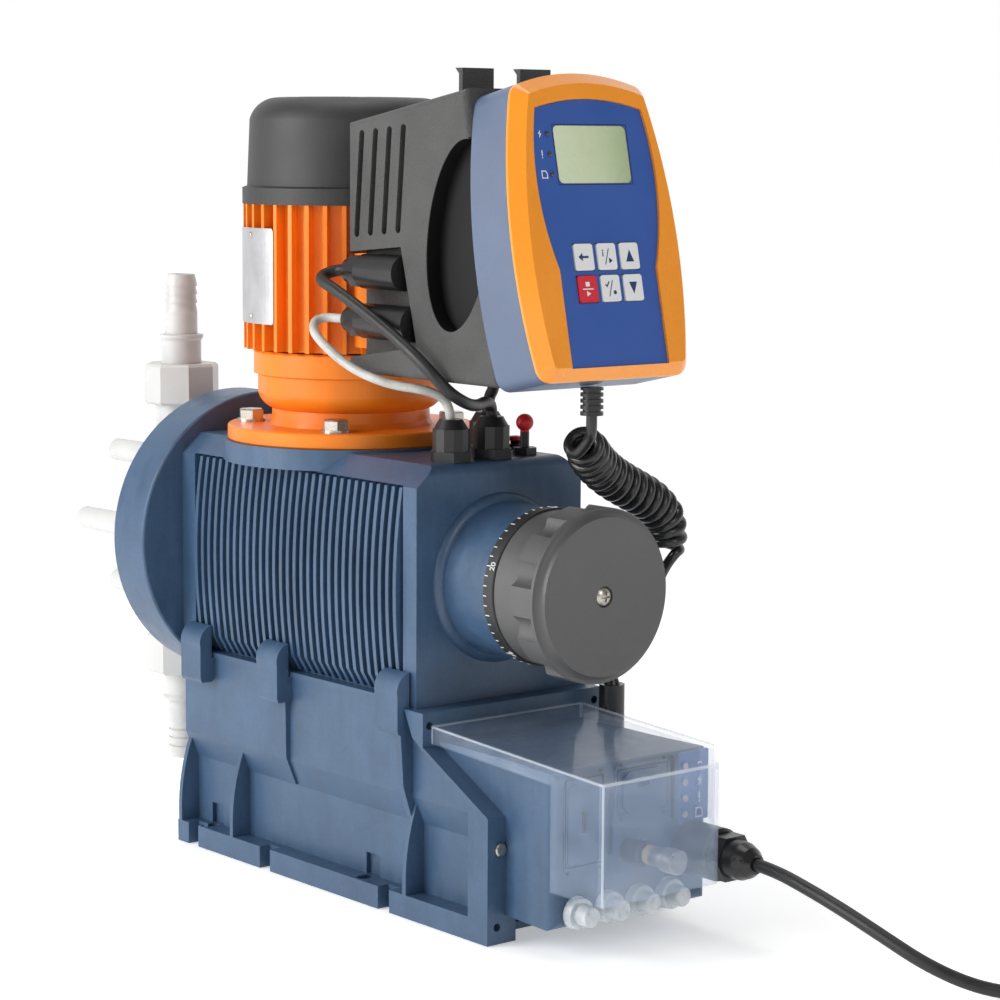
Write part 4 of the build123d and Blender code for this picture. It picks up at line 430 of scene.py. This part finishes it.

# Display: a grey-green liquid crystal behind clear foil, with painted shade that darkens it toward one side,
# and a dark line round it where the foil's print ends.
display_half = 24.5
display_low = 99.8
display_high = 129.5
crystal, shader, place = new_finish("display_crystal")
x_place = place.node("ShaderNodeSeparateXYZ", (), [(0, place)])
shade_across = x_place.span(-display_half * MM, display_half * MM, 0.0, 1.0)
haze = place.noise(60.0, 2.0, 0.5)
# Painted shade: the colour darkens across the display toward one side.
feed(shader, {
    "Base Color": (shade_across * shade_across * 0.8 + haze * 0.12).blend((0.66, 0.74, 0.51, 1), (0.34, 0.43, 0.23, 1)),
    "Roughness": haze.span(0.0, 1.0, 0.22, 0.30),
    "Coat Weight": 0.6,
    "Coat Roughness": 0.03})
give(crystal, ("display_window",))
frame_line = 0.5
print_rise = 0.00006
print_black = moulded("print_black", (0.012, 0.014, 0.030), 0.45)
print_white = moulded("print_white", (0.78, 0.79, 0.80), 0.45, mottle=0.05)


def box_points(x, y, half_x, half_y):
    """A flat box round a middle point."""
    return [(x + a * half_x, y + b * half_y) for a, b in ((-1, -1), (1, -1), (1, 1), (-1, 1))]


display_middle = (display_low + display_high) / 2
display_frame = []
for x, v, half_x, half_v in (
        (0, display_low - frame_line, display_half + frame_line, frame_line / 2),
        (0, display_high + frame_line, display_half + frame_line, frame_line / 2),
        (-display_half - frame_line, display_middle, frame_line / 2, display_high - display_middle),
        (display_half + frame_line, display_middle, frame_line / 2, display_high - display_middle)):
    display_frame.append(box_points(x * MM, v * MM, half_x * MM, half_v * MM))
foil_out = -1.4
marks("display_frame", display_frame, on_unit(0, 0, foil_out), unit_right, unit_up, print_rise, print_black,
      "pump")


# Signs beside the lamps: a bolt for power, a bar and dot for a warning, and a can for the dosed liquid, all
# printed white on the foil.
def scaled(outlines, factor, x, y):
    """Outlines drawn in a box of about 1 by 1, brought to size and place."""
    return [[(x + px * factor, y + py * factor) for px, py in outline] for outline in outlines]


bolt_sign = [[(0.10, 0.5), (-0.26, 0.02), (-0.03, 0.02), (-0.12, -0.5), (0.26, 0.08), (0.03, 0.08)]]
warning_sign = [box_points(0, 0.14, 0.07, 0.34), box_points(0, -0.42, 0.07, 0.07)]
can_sign = [
    box_points(-0.42, 0.0, 0.06, 0.36), box_points(0.0, -0.42, 0.48, 0.06),
    box_points(-0.12, 0.42, 0.36, 0.06),
    [(0.24, 0.48), (0.48, 0.10), (0.36, 0.04), (0.14, 0.36)], box_points(0.40, -0.16, 0.06, 0.20)]
lamp_heights = (104.4, 114.7, 125.0)
sign_x = -33.6
lamp_sign_size = 4.2 * MM
signs = []
for sign, v in zip((can_sign, warning_sign, bolt_sign), lamp_heights):
    signs += scaled(sign, lamp_sign_size, sign_x * MM, v * MM)
marks("lamp_signs", signs, on_unit(0, 0, foil_out), unit_right, unit_up, print_rise, print_white, "pump")
lamp_x = -28.7
lamp_out = foil_out + 0.3
lamp_profile = [(0.0013, -0.0004), (0.0013, 0.0003), (0.0009, 0.00065), (0.0003, 0.0008)]
lamp_finish = moulded("lamp_lens", (0.020, 0.028, 0.018), 0.12, coat=0.6)
unit_out = on_unit(0, 0, 1) - on_unit(0, 0, 0)
for i, v in enumerate(lamp_heights):
    turned(f"lamp_lens_{i}", lamp_profile, on_unit(lamp_x, v, lamp_out), unit_out, lamp_finish, "pump",
           sides=16)

# ---------------------------------------------------------------- keys
# Six hard plastic keys in windows of the foil, five white with dark printed signs and one red with a white
# sign. Each sign moves with its own key.
key_pitch_x = 15.4
key_row_low = 45.8
key_row_high = 62.1
key_top_out = -0.6
key_sign_size = 8.2 * MM
give(moulded("key_white", (0.760, 0.765, 0.770), 0.36, mottle=0.03, grain=2600.0, depth=0.00004),
     ("key_down", "key_enter", "key_escape", "key_info", "key_up"))
give(moulded("key_red", (0.640, 0.022, 0.040), 0.34, mottle=0.04, grain=2600.0, depth=0.00004),
     ("key_start",))
print_navy = moulded("print_navy", (0.010, 0.030, 0.130), 0.45)
up_sign = [[(-0.33, -0.36), (0.33, -0.36), (0.0, 0.40)]]
down_sign = [[(0.0, -0.40), (0.33, 0.36), (-0.33, 0.36)]]
slash = [(-0.22, -0.50), (-0.15, -0.50), (0.22, 0.50), (0.15, 0.50)]
info_sign = [
    slash, box_points(-0.32, 0.14, 0.045, 0.14), box_points(-0.32, 0.38, 0.045, 0.05),
    [(0.14, -0.44), (0.42, -0.26), (0.14, -0.08)]]
enter_sign = [
    slash, [(-0.46, 0.22), (-0.30, 0.06), (-0.06, 0.40), (-0.14, 0.45), (-0.31, 0.20), (-0.40, 0.28)],
    round_dot(0.13, (0.30, -0.26))]
escape_sign = [
    [(-0.46, 0.0), (-0.12, 0.26), (-0.12, 0.07), (0.36, 0.07), (0.36, -0.07), (-0.12, -0.07), (-0.12, -0.26)]]
start_sign = [
    box_points(0.0, 0.30, 0.16, 0.14), box_points(0.0, 0.0, 0.42, 0.035),
    [(-0.13, -0.46), (0.19, -0.29), (-0.13, -0.12)]]
for key, sign, column, v, ink, slot in (
        ("key_escape", escape_sign, -1, key_row_high, print_navy, "panel_blue"),
        ("key_info", info_sign, 0, key_row_high, print_navy, "panel_blue"),
        ("key_up", up_sign, 1, key_row_high, print_navy, "panel_blue"),
        ("key_start", start_sign, -1, key_row_low, print_white, "white_plastic"),
        ("key_enter", enter_sign, 0, key_row_low, print_navy, "panel_blue"),
        ("key_down", down_sign, 1, key_row_low, print_navy, "panel_blue")):
    marks(f"{key}_sign", scaled(sign, key_sign_size, 0.0, 0.0), on_unit(column * key_pitch_x, v, key_top_out),
          unit_right, unit_up, print_rise, ink, key)

# ---------------------------------------------------------------- stroke knob and dial
# A deep black polyamide knob with finger scallops, and a dial ring behind it. The knob is coloured lighter
# than the ring, a painted sheen for the broad reflection on its face. The ring has fifty white filled notches
# at its rear edge, every tenth with its number.
stroke_z = 0.178
dial_r = 0.042
dial_rear_y = -0.1163
tick_count = 50
tick_long = 2.3 * MM
tick_wide = 0.48 * MM
tick_high = 0.3 * MM
tick_inset = 0.7 * MM
fifth_tick_share = 1.35
number_size = 4.86 * MM
number_inset = 5.5 * MM
number_thick = 0.00012
number_sink = 0.00003
number_20_angle = 160.0
# Painted sheen: the knob is coloured lighter than the dial ring, for the reflection on its face.
give(moulded("knob_polyamide_sheen", (0.092, 0.092, 0.091), 0.42, mottle=0.10, grain=2300.0, depth=0.00012),
     ("stroke_knob",))
give(moulded("dial_polyamide", (0.026, 0.026, 0.025), 0.42, mottle=0.12, grain=2300.0, depth=0.00012),
     ("dial_ring",))
dial_shape = bmesh.new()
for i in range(tick_count):
    angle = radians(number_20_angle - 360.0 * (i - 20) / tick_count)
    out = Vector((cos(angle), 0.0, sin(angle)))
    along = Vector((-sin(angle), 0.0, cos(angle)))
    reach = tick_long * (fifth_tick_share if i % 5 == 0 else 1.0)
    middle = Vector((0.0, dial_rear_y - tick_inset - reach / 2, stroke_z)) + out * dial_r
    tick = bmesh.ops.create_cube(dial_shape, size=1.0)
    turn = Matrix((along, Vector((0, 1, 0)), out)).transposed().to_4x4()
    size = Matrix.Diagonal((tick_wide, reach, tick_high, 1.0))
    bmesh.ops.transform(dial_shape, matrix=Matrix.Translation(middle) @ turn @ size, verts=tick["verts"])
    if i % 10 == 0:
        letters = bpy.data.curves.new("dial_number", "FONT")
        letters.body = str(i)
        letters.size = number_size
        letters.extrude = number_thick
        letters.align_x = "CENTER"
        letters.align_y = "CENTER"
        stamp = bpy.data.objects.new("dial_number", letters)
        scene.collection.objects.link(stamp)
        stamp_mesh = bpy.data.meshes.new_from_object(stamp)
        bpy.data.objects.remove(stamp)
        middle = Vector((0.0, dial_rear_y - number_inset, stroke_z)) + out * (dial_r + number_sink)
        turn = Matrix((-along, out.cross(-along), out)).transposed().to_4x4()
        stamp_mesh.transform(Matrix.Translation(middle) @ turn)
        dial_shape.from_mesh(stamp_mesh)
dial_mesh = bpy.data.meshes.new("dial_marks")
dial_shape.to_mesh(dial_mesh)
dial_mesh.materials.append(print_white)
dial_marks = bpy.data.objects.new("dial_marks", dial_mesh)
scene.collection.objects.link(dial_marks)
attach(dial_marks, "knob")

# ---------------------------------------------------------------- dosing head, valves and nozzles
# Natural polypropylene, machined and moulded: an off-white that lets a little light in. The head is screwed
# through to the disc, and union nuts hold the hose nozzles on its two valve necks.
wetted_pieces = (
    "dosing_head", "discharge_valve_seat", "discharge_union_nut", "discharge_nozzle", "suction_valve_seat",
    "suction_union_nut", "suction_nozzle")
natural_white = (0.585, 0.588, 0.575)
wetted, shader, place = new_finish("natural_polypropylene")
cloud = place.noise(40.0, 4.0, 0.6)
lathe = place.stretched(1.0, 6.0, 6.0).noise(420.0, 2.0, 0.5)
feed(shader, {
    "Base Color": cloud.blend(tint(natural_white, 0.94), tint(natural_white, 1.04)),
    "Roughness": cloud.span(0.0, 1.0, 0.30, 0.42),
    "Normal": lathe.raised(0.12, 0.0001),
    "Subsurface Weight": 0.12,
    "Subsurface Scale": 0.006})
give(wetted, wetted_pieces)
give(moulded("diaphragm_rubber", (0.020, 0.020, 0.021), 0.55), ("diaphragm",))

# ---------------------------------------------------------------- terminal box front
# Two covers with a fine joint round each, dark dots in their corners and two dark bars that are painted shade
# for the recesses where they snap in, and a small blue status strip with four lamps and their printed signs.
box_front_y = -0.1874
strip_left_x = 0.0325
face_rise = 0.0003
joint_rise = 0.0002
strip_blue, shader, place = new_finish("strip_blue")
x_place = place.node("ShaderNodeSeparateXYZ", (), [(0, place)])
on_strip = strip_left_x - x_place < 0.0
cloud = place.noise(90.0, 3.0, 0.5)
feed(shader, {
    "Base Color": on_strip.blend(cloud.blend(tint(slate_blue, 0.9), tint(slate_blue, 1.3)),
                                 cloud.blend((0.045, 0.110, 0.330, 1), (0.060, 0.135, 0.380, 1))),
    "Roughness": cloud.span(0.0, 1.0, 0.32, 0.42)})
give(strip_blue, ("access_covers",))
strip_lamp_x = 37.0
strip_sign_x = 47.0
strip_heights = (62.5, 71.0, 79.5, 88.0)
lens_pale, shader, place = new_finish("lens_pale")
feed(shader, {
    "Base Color": place.noise(300.0).blend((0.30, 0.31, 0.30, 1), (0.44, 0.45, 0.42, 1)),
    "Roughness": place.noise(200.0).span(0.0, 1.0, 0.18, 0.30)})
strip_sign_size = 5.6 * MM
strip_lamp_r = 1.9 * MM
arch_r = 1.6 * MM
arch_inner_r = 0.9 * MM
strip_signs = []
for sign, z in zip((can_sign, warning_sign, bolt_sign), strip_heights):
    strip_signs += scaled(sign, strip_sign_size, strip_sign_x * MM, z * MM)
arch_foot = (strip_sign_x * MM, strip_heights[-1] * MM)
arch_sign = arc_points(arch_r, 20, 160, 8, arch_foot) + arc_points(arch_inner_r, 160, 20, 8, arch_foot)
strip_signs.append(arch_sign)
box_face = (0.0, box_front_y, 0.0)
box_right = (1, 0, 0)
box_up = (0, 0, 1)
marks("strip_signs", strip_signs, box_face, box_right, box_up, face_rise, print_white, "pump")
marks("strip_lamps", [round_dot(strip_lamp_r, (strip_lamp_x * MM, z * MM)) for z in strip_heights], box_face,
      box_right, box_up, face_rise, lens_pale, "pump")
# Painted shade: the dark dots and bars stand for the shade in the covers' snap recesses.
cover_point_r = 0.8 * MM
cover_point_shades = [
    box_points(-32.9 * MM, 69.0 * MM, 1.3 * MM, 5.5 * MM),
    box_points(6.7 * MM, 82.5 * MM, 4.6 * MM, 1.6 * MM)]
for x, z in ((-43.6, 44.0), (-22.2, 44.0), (-43.6, 94.4), (-22.2, 94.4),
             (-8.2, 66.6), (21.6, 66.6), (-8.2, 95.0), (21.6, 95.0)):
    cover_point_shades.append(round_dot(cover_point_r, (x * MM, z * MM)))
marks("cover_point_shades", cover_point_shades, box_face, box_right, box_up, face_rise, slot_shade_and_joint_dark, "pump")
joint_half = 0.22
cover_joints = []
for left, right, low, high in ((-45.4, -20.4, 46.8, 91.8), (-10.6, 24.0, 69.0, 92.6)):
    half_wide = (right - left) / 2
    half_high = (high - low) / 2
    for x, z, half_x, half_z in (
            (left, low + half_high, joint_half, half_high), (right, low + half_high, joint_half, half_high),
            (left + half_wide, low, half_wide, joint_half), (left + half_wide, high, half_wide, joint_half)):
        cover_joints.append(box_points(x * MM, z * MM, half_x * MM, half_z * MM))
marks("cover_joints", cover_joints, box_face, box_right, box_up, joint_rise, slot_shade_and_joint_dark, "pump")

# Clear hood: injection-moulded polycarbonate, blue-tinted in thickness, with soft reflections and a little
# haze on its walls, and a painted highlight along its rims, which are paler and more opaque. It slides
# forward off the box.
hood_left = -0.0565
hood_right = 0.048
hood_front = -0.228
hood_rear = -0.0923
hood_front_top = 0.0985
hood_top_slope = 0.0075 / 0.1357
hood_rim = 0.0012
hood_wall = 0.003
hood_clear, shader, place = new_finish("hood_polycarbonate")
haze = place.noise(36.0, 4.0, 0.6)
axes = [place.node("ShaderNodeSeparateXYZ", (), [(0, place)], output=i) for i in range(3)]
top_off = axes[2] - hood_front_top - (axes[1] - hood_front) * hood_top_slope
rim_highlight_bands = 0.0
for off in (axes[0] - hood_left, axes[0] - hood_right, axes[1] - hood_front, axes[1] - hood_rear, top_off):
    rim_highlight_bands = rim_highlight_bands + (off * off < hood_rim ** 2)
rim_highlight = 1.5 - rim_highlight_bands < 0.0
front_wall = axes[1] - hood_front - hood_wall < 0.0
# Painted highlight: the rims are paler and more opaque, for the reflections along the hood's edges.
feed(shader, {
    "Base Color": rim_highlight.blend(haze.blend((0.46, 0.58, 0.78, 1), (0.56, 0.67, 0.84, 1)), (0.74, 0.82, 0.92, 1)),
    "Alpha": haze.span(0.0, 1.0, 0.09, 0.15) + front_wall * 0.12 + rim_highlight * 0.30,
    "Roughness": haze.span(0.0, 1.0, 0.05, 0.12),
    "Coat Weight": 0.6,
    "Coat Roughness": 0.03})
give(hood_clear, ("hood",))

# Control plug: a black body with a tan seal, and a plated coupling nut in front of it.
plug_seal_y = -0.2035
plug_seal_wide = 0.0022
plug_skin, shader, place = new_finish("control_plug_skin")
cloud = place.noise(150.0)
depth = place.node("ShaderNodeSeparateXYZ", (), [(0, place)], output=1)
seal_off = depth - plug_seal_y
seal = seal_off * seal_off < plug_seal_wide ** 2
nut = seal_off + plug_seal_wide < 0.0
feed(shader, {
    "Base Color": seal.blend(
        nut.blend((0.018, 0.018, 0.019, 1), cloud.blend((0.30, 0.30, 0.31, 1), (0.46, 0.46, 0.47, 1))),
        (0.46, 0.36, 0.20, 1)),
    "Metallic": nut * 0.8,
    "Roughness": cloud.span(0.0, 1.0, 0.26, 0.42)})
give(plug_skin, ("signal_plug",))

# Socket caps: frosted polyethylene plugs on the lower row of sockets, thin enough to show the dark bore.
cap_frosted, shader, place = new_finish("cap_frosted")
milk = place.noise(120.0, 4.0, 0.6)
feed(shader, {
    "Base Color": milk.blend((0.60, 0.66, 0.70, 1), (0.78, 0.82, 0.85, 1)),
    "Alpha": milk.span(0.0, 1.0, 0.62, 0.78),
    "Roughness": milk.span(0.0, 1.0, 0.22, 0.34)})
give(cap_frosted, ("socket_caps",))

# ---------------------------------------------------------------- cable glands and vent plug on the deck
# Black polyamide glands with domed nuts, and an oil vent whose ball is moulded in red. A second, small red
# cap closes the oil level port beside it.
vent_ball = (0.030, -0.064, 0.2585)
vent_ball_r = 0.0056
gland_black = (0.012, 0.012, 0.012)
vent_red = (0.640, 0.010, 0.022)
gland_finish, shader, place = new_finish("gland_polyamide")
apart = place.node("ShaderNodeVectorMath", [("operation", "DISTANCE")], [(0, place), (1, vent_ball)],
                   output=1)
skin = place.noise(1800.0, 3.0, 0.6)
cloud = place.noise(60.0)
feed(shader, {
    "Base Color": (apart < vent_ball_r).blend(
        cloud.blend(tint(gland_black, 0.8), tint(gland_black, 1.3)),
        cloud.blend(tint(vent_red, 0.85), tint(vent_red))),
    "Roughness": cloud.span(0.0, 1.0, 0.40, 0.52),
    "Normal": skin.raised(0.2, 0.0001),
    "Coat Weight": 0.1})
give(gland_finish, ("top_glands",))
deck_z = 0.2425
port_x = 0.035
port_y = -0.050
port_rise = 0.0047
port_profile = [(0.0052, -0.0006), (0.0052, 0.0022), (0.0030, 0.0028), (0.0030, 0.0050)]
cap_profile = [(0.0036, 0.0), (0.0040, 0.0006), (0.0040, 0.0016), (0.0030, 0.0024), (0.0012, 0.0027)]
red_cap = moulded("port_cap_red", vent_red, 0.30)
turned("level_port", port_profile, (port_x, port_y, deck_z), (0, 0, 1), gloss_black, "pump",
       sides=6)
turned("level_port_cap", cap_profile, (port_x, port_y, deck_z + port_rise), (0, 0, 1), red_cap, "pump")

# ---------------------------------------------------------------- mains cable
# Black three-core cable with a soft matt sheath. It drops from its gland to the floor, and what isn't used
# lies in a flat round coil of two layers, with the moulded plug beside it.
cable_d = 0.0068


def sheath(name, colour, rough):
    """Cable sheath: soft sheen with handling marks."""
    made, shader, place = new_finish(name)
    smear = place.noise(90.0, 4.0, 0.6)
    skin = place.noise(1100.0, 2.0, 0.5)
    feed(shader, {
        "Base Color": smear.blend(tint(colour, 0.8), tint(colour, 1.3)),
        "Roughness": smear.span(0.0, 1.0, rough - 0.06, rough + 0.1),
        "Normal": skin.raised(0.2, 0.0001)})
    return made


def cord_run(name, points, diameter, finish):
    """A round cord that runs smoothly through the pull of its points."""
    data = bpy.data.curves.new(name, "CURVE")
    data.dimensions = "3D"
    data.bevel_depth = diameter / 2
    data.bevel_resolution = 5
    data.resolution_u = 8
    data.use_fill_caps = True
    data.materials.append(finish)
    spline = data.splines.new("NURBS")
    spline.points.add(len(points) - 1)
    for control, point in zip(spline.points, points):
        control.co = (*point, 1.0)
    spline.order_u = 3
    spline.use_endpoint_u = True
    made = bpy.data.objects.new(name, data)
    scene.collection.objects.link(made)
    return made


mains_points = [
    (0.041, -0.237, 0.045), (0.041, -0.250, 0.0445), (0.0415, -0.272, 0.040), (0.043, -0.296, 0.0335),
    (0.046, -0.320, 0.025), (0.051, -0.343, 0.0155), (0.061, -0.364, 0.008), (0.076, -0.380, 0.0044),
    (0.097, -0.388, 0.0036), (0.122, -0.3895, 0.0036)]
coil_centre = (0.150, -0.440)
coil_outer = 0.0512
coil_columns = 3
coil_rise_turn = 0.25
coil_turns = 2 * coil_columns + 0.5
coil_steps = 16
coil_low_z = 0.0034
plug_tip_x = 0.131
for i in range(int(coil_turns * coil_steps) + 1):
    turn = i / coil_steps
    back_out = min(max(turn - coil_columns - coil_rise_turn, 0.0), coil_columns)
    radius = coil_outer - cable_d * (min(turn, coil_columns) - back_out)
    rise = min(max((turn - coil_columns) / coil_rise_turn, 0.0), 1.0)
    angle = pi / 2 - 2 * pi * turn
    x = coil_centre[0] + radius * cos(angle)
    y = coil_centre[1] + radius * sin(angle)
    mains_points.append((x, y, coil_low_z + cable_d * rise))
mains_points.append((plug_tip_x, coil_centre[1] - coil_outer, coil_low_z + cable_d))
cable_black = sheath("cable_black", (0.012, 0.012, 0.012), 0.44)
mains_cord = cord_run("mains_cord", mains_points, cable_d, cable_black)
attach(mains_cord, "pump")
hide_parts("mains_cable", "mains_coil")

# ---------------------------------------------------------------- curly cord
# Black polyurethane helix cord from the boot under the control unit to the plug on the box flange. The
# helix hangs in a bow, close-wound, and its wire turns in at both ends.
curly_wire = 0.0058
curly_outer = 0.0240
curly_pitch = 0.0064
curly_first_angle = 145.0
curly_end_count = 28
curly_end_step = 4
curly_start = [(0.0, -0.153, 0.271), (0.0, -0.153, 0.264), (0.003, -0.149, 0.2585)]
curly_route = [
    (0.008, -0.137, 0.255), (0.020, -0.129, 0.246), (0.036, -0.125, 0.235), (0.053, -0.124, 0.2265),
    (0.071, -0.123, 0.218), (0.084, -0.121, 0.205), (0.083, -0.120, 0.189)]
curly_end = [
    (0.082, -0.119, 0.178), (0.077, -0.116, 0.162), (0.069, -0.112, 0.147), (0.061, -0.108, 0.136),
    (0.058, -0.106, 0.129), (0.058, -0.106, 0.120)]
curly_black = sheath("curly_black", (0.016, 0.016, 0.017), 0.26)
guide = cord_run("curly_guide", curly_route, 0.0, curly_black)
guide_mesh = bpy.data.meshes.new_from_object(guide)
guide_line = [vertex.co.copy() for vertex in guide_mesh.vertices]
bpy.data.objects.remove(guide)
helix = []
turned_by = radians(curly_first_angle)
side = Vector((1.0, 0.0, 0.0))
reach = (curly_outer - curly_wire) / 2
guide_steps = 12
for here, there in zip(guide_line, guide_line[1:]):
    ahead = (there - here).normalized()
    side = (side - ahead * side.dot(ahead)).normalized()
    above = ahead.cross(side)
    step_turn = (there - here).length / curly_pitch * 2 * pi
    for k in range(guide_steps):
        share = k / guide_steps
        angle = turned_by + share * step_turn
        ring = side * cos(angle) + above * sin(angle)
        helix.append(tuple(here.lerp(there, share) + reach * ring))
    turned_by += step_turn
curly_points = curly_start + helix[:curly_end_count:curly_end_step]
curly_points += helix[curly_end_count:-curly_end_count]
curly_points += helix[-curly_end_count::curly_end_step] + curly_end
curly_lead = cord_run("curly_lead", curly_points, curly_wire, curly_black)
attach(curly_lead, "pump")
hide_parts("curly_cord")

# ---------------------------------------------------------------- leads from the electronics to the deck
# A black power lead and a pale grey signal lead bow out from their plugs and drop into two of the deck's
# glands. A short black lead joins the housing's underside to the third.
power_points = [
    (-0.047, -0.009, 0.341), (-0.047, -0.001, 0.341), (-0.0512, 0.0032, 0.3398), (-0.057, 0.0032, 0.3378),
    (-0.061, -0.001, 0.3355), (-0.0615, -0.014, 0.3315), (-0.0608, -0.038, 0.3215), (-0.0608, -0.066, 0.309),
    (-0.0585, -0.089, 0.295), (-0.0515, -0.099, 0.2818), (-0.036, -0.095, 0.2745), (-0.019, -0.083, 0.2715),
    (-0.006, -0.074, 0.2725), (0.0025, -0.068, 0.2705), (0.005, -0.066, 0.266), (0.005, -0.066, 0.256)]
signal_points = [
    (-0.047, -0.009, 0.3145), (-0.047, 0.002, 0.3145), (-0.0505, 0.009, 0.315), (-0.0565, 0.0115, 0.313),
    (-0.061, 0.006, 0.3075), (-0.062, -0.006, 0.3005), (-0.060, -0.020, 0.2925), (-0.057, -0.035, 0.2865),
    (-0.050, -0.050, 0.2818), (-0.039, -0.061, 0.280), (-0.0285, -0.0655, 0.276), (-0.023, -0.066, 0.268),
    (-0.023, -0.066, 0.256)]
link_points = [(0.018, -0.053, 0.286), (0.018, -0.053, 0.278), (0.020, -0.044, 0.270), (0.020, -0.044, 0.256)]
lead_d = 0.0064
signal_d = 0.0050
lead_grey = sheath("lead_grey", (0.470, 0.465, 0.435), 0.42)
for node, points, diameter, finish, slot, length in (
        ("power_lead", power_points, lead_d, cable_black, "rubber_black", 0.24),
        ("signal_lead", signal_points, signal_d, lead_grey, "lead_grey", 0.16),
        ("link_lead", link_points, lead_d, cable_black, "rubber_black", None)):
    lead = cord_run(f"{node}_run", points, diameter, finish)
    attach(lead, "pump")
    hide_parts(node)

# ---------------------------------------------------------------- floor, surround, lights and camera
# A pale matt floor that glows, faintly near the pump and fully further out, so that it runs out to white and
# adds light from below, and a surround that is bright behind the pump and low down all round. One large soft
# light stands on the left, and two weaker ones stand in front and above.
floor_half = 40
floor_z = -0.0004
floor_near = 0.45
floor_far = 1.7
floor_mesh = bpy.data.meshes.new("floor")
floor_mesh.from_pydata([(x, y, 0) for x, y in box_points(0, 0, floor_half, floor_half)], [], [(0, 1, 2, 3)])
floor = bpy.data.objects.new("floor", floor_mesh)
floor.location.z = floor_z
scene.collection.objects.link(floor)
floor_pale, shader, place = new_finish("floor_pale")
from_pump = place.node("ShaderNodeVectorMath", [("operation", "LENGTH")], [(0, place)], output=1)
far = from_pump.span(floor_near, floor_far, 0.0, 1.0)
grain = place.noise(3.0)
# The floor's emission is a glow that rises with distance from the pump, so near the pump it mostly takes the
# lamps' light.
feed(shader, {
    "Base Color": far.blend(grain.blend((0.88, 0.88, 0.88, 1), (0.92, 0.92, 0.92, 1)), (0.10, 0.10, 0.10, 1)),
    "Roughness": 0.9,
    "Emission Color": far.blend((0.38, 0.38, 0.38, 1), (0.93, 0.93, 0.93, 1)),
    "Emission Strength": 1.0})
floor_mesh.materials.append(floor_pale)
backdrop_way = (0.64, 0.77, 0.05)
dim_glow = 0.20
band_glow = 0.8
pump_middle = (0, 0, 0.2)
world = bpy.data.worlds.new("surround")
world.use_nodes = True
sky = Sock(world.node_tree)
way = sky.node("ShaderNodeTexCoord")
toward = way.node("ShaderNodeVectorMath", [("operation", "DOT_PRODUCT")], [(0, way), (1, backdrop_way)],
                  output=1)
level_off = way.node("ShaderNodeSeparateXYZ", (), [(0, way)], output=2)
low_band = (level_off * level_off).span(0.004, 0.03, band_glow, 0.0)
glow = (toward.span(0.25, 0.75, dim_glow, 1.0) + low_band).span(0.0, 1.0, 0.0, 1.0)
background = world.node_tree.nodes["Background"]
background.inputs["Color"].default_value = (1.0, 1.0, 1.0, 1.0)
world.node_tree.links.new(glow.socket, background.inputs["Strength"])
scene.world = world
for name, spot, size, power in (
        ("left_light", (-1.75, 0.55, 0.85), 1.3, 36.0), ("front_light", (-0.3, -2.0, 1.3), 0.9, 9.0),
        ("top_light", (0.1, 0.3, 2.1), 1.0, 12.0)):
    lamp_data = bpy.data.lights.new(name, "AREA")
    lamp_data.size = size
    lamp_data.energy = power
    lamp = bpy.data.objects.new(name, lamp_data)
    lamp.location = spot
    lamp.rotation_euler = (Vector(spot) - Vector(pump_middle)).to_track_quat("Z", "Y").to_euler()
    scene.collection.objects.link(lamp)
camera_data = bpy.data.cameras.new("camera")
camera_data.lens = 102.1
camera_data.sensor_width = 36.0
camera = bpy.data.objects.new("camera", camera_data)
camera.location = (-0.960, -1.240, 0.410)
camera.rotation_euler = (radians(82.80), radians(-0.30), radians(-39.56))
scene.collection.objects.link(camera)
scene.camera = camera
scene.view_settings.view_transform = "Standard"
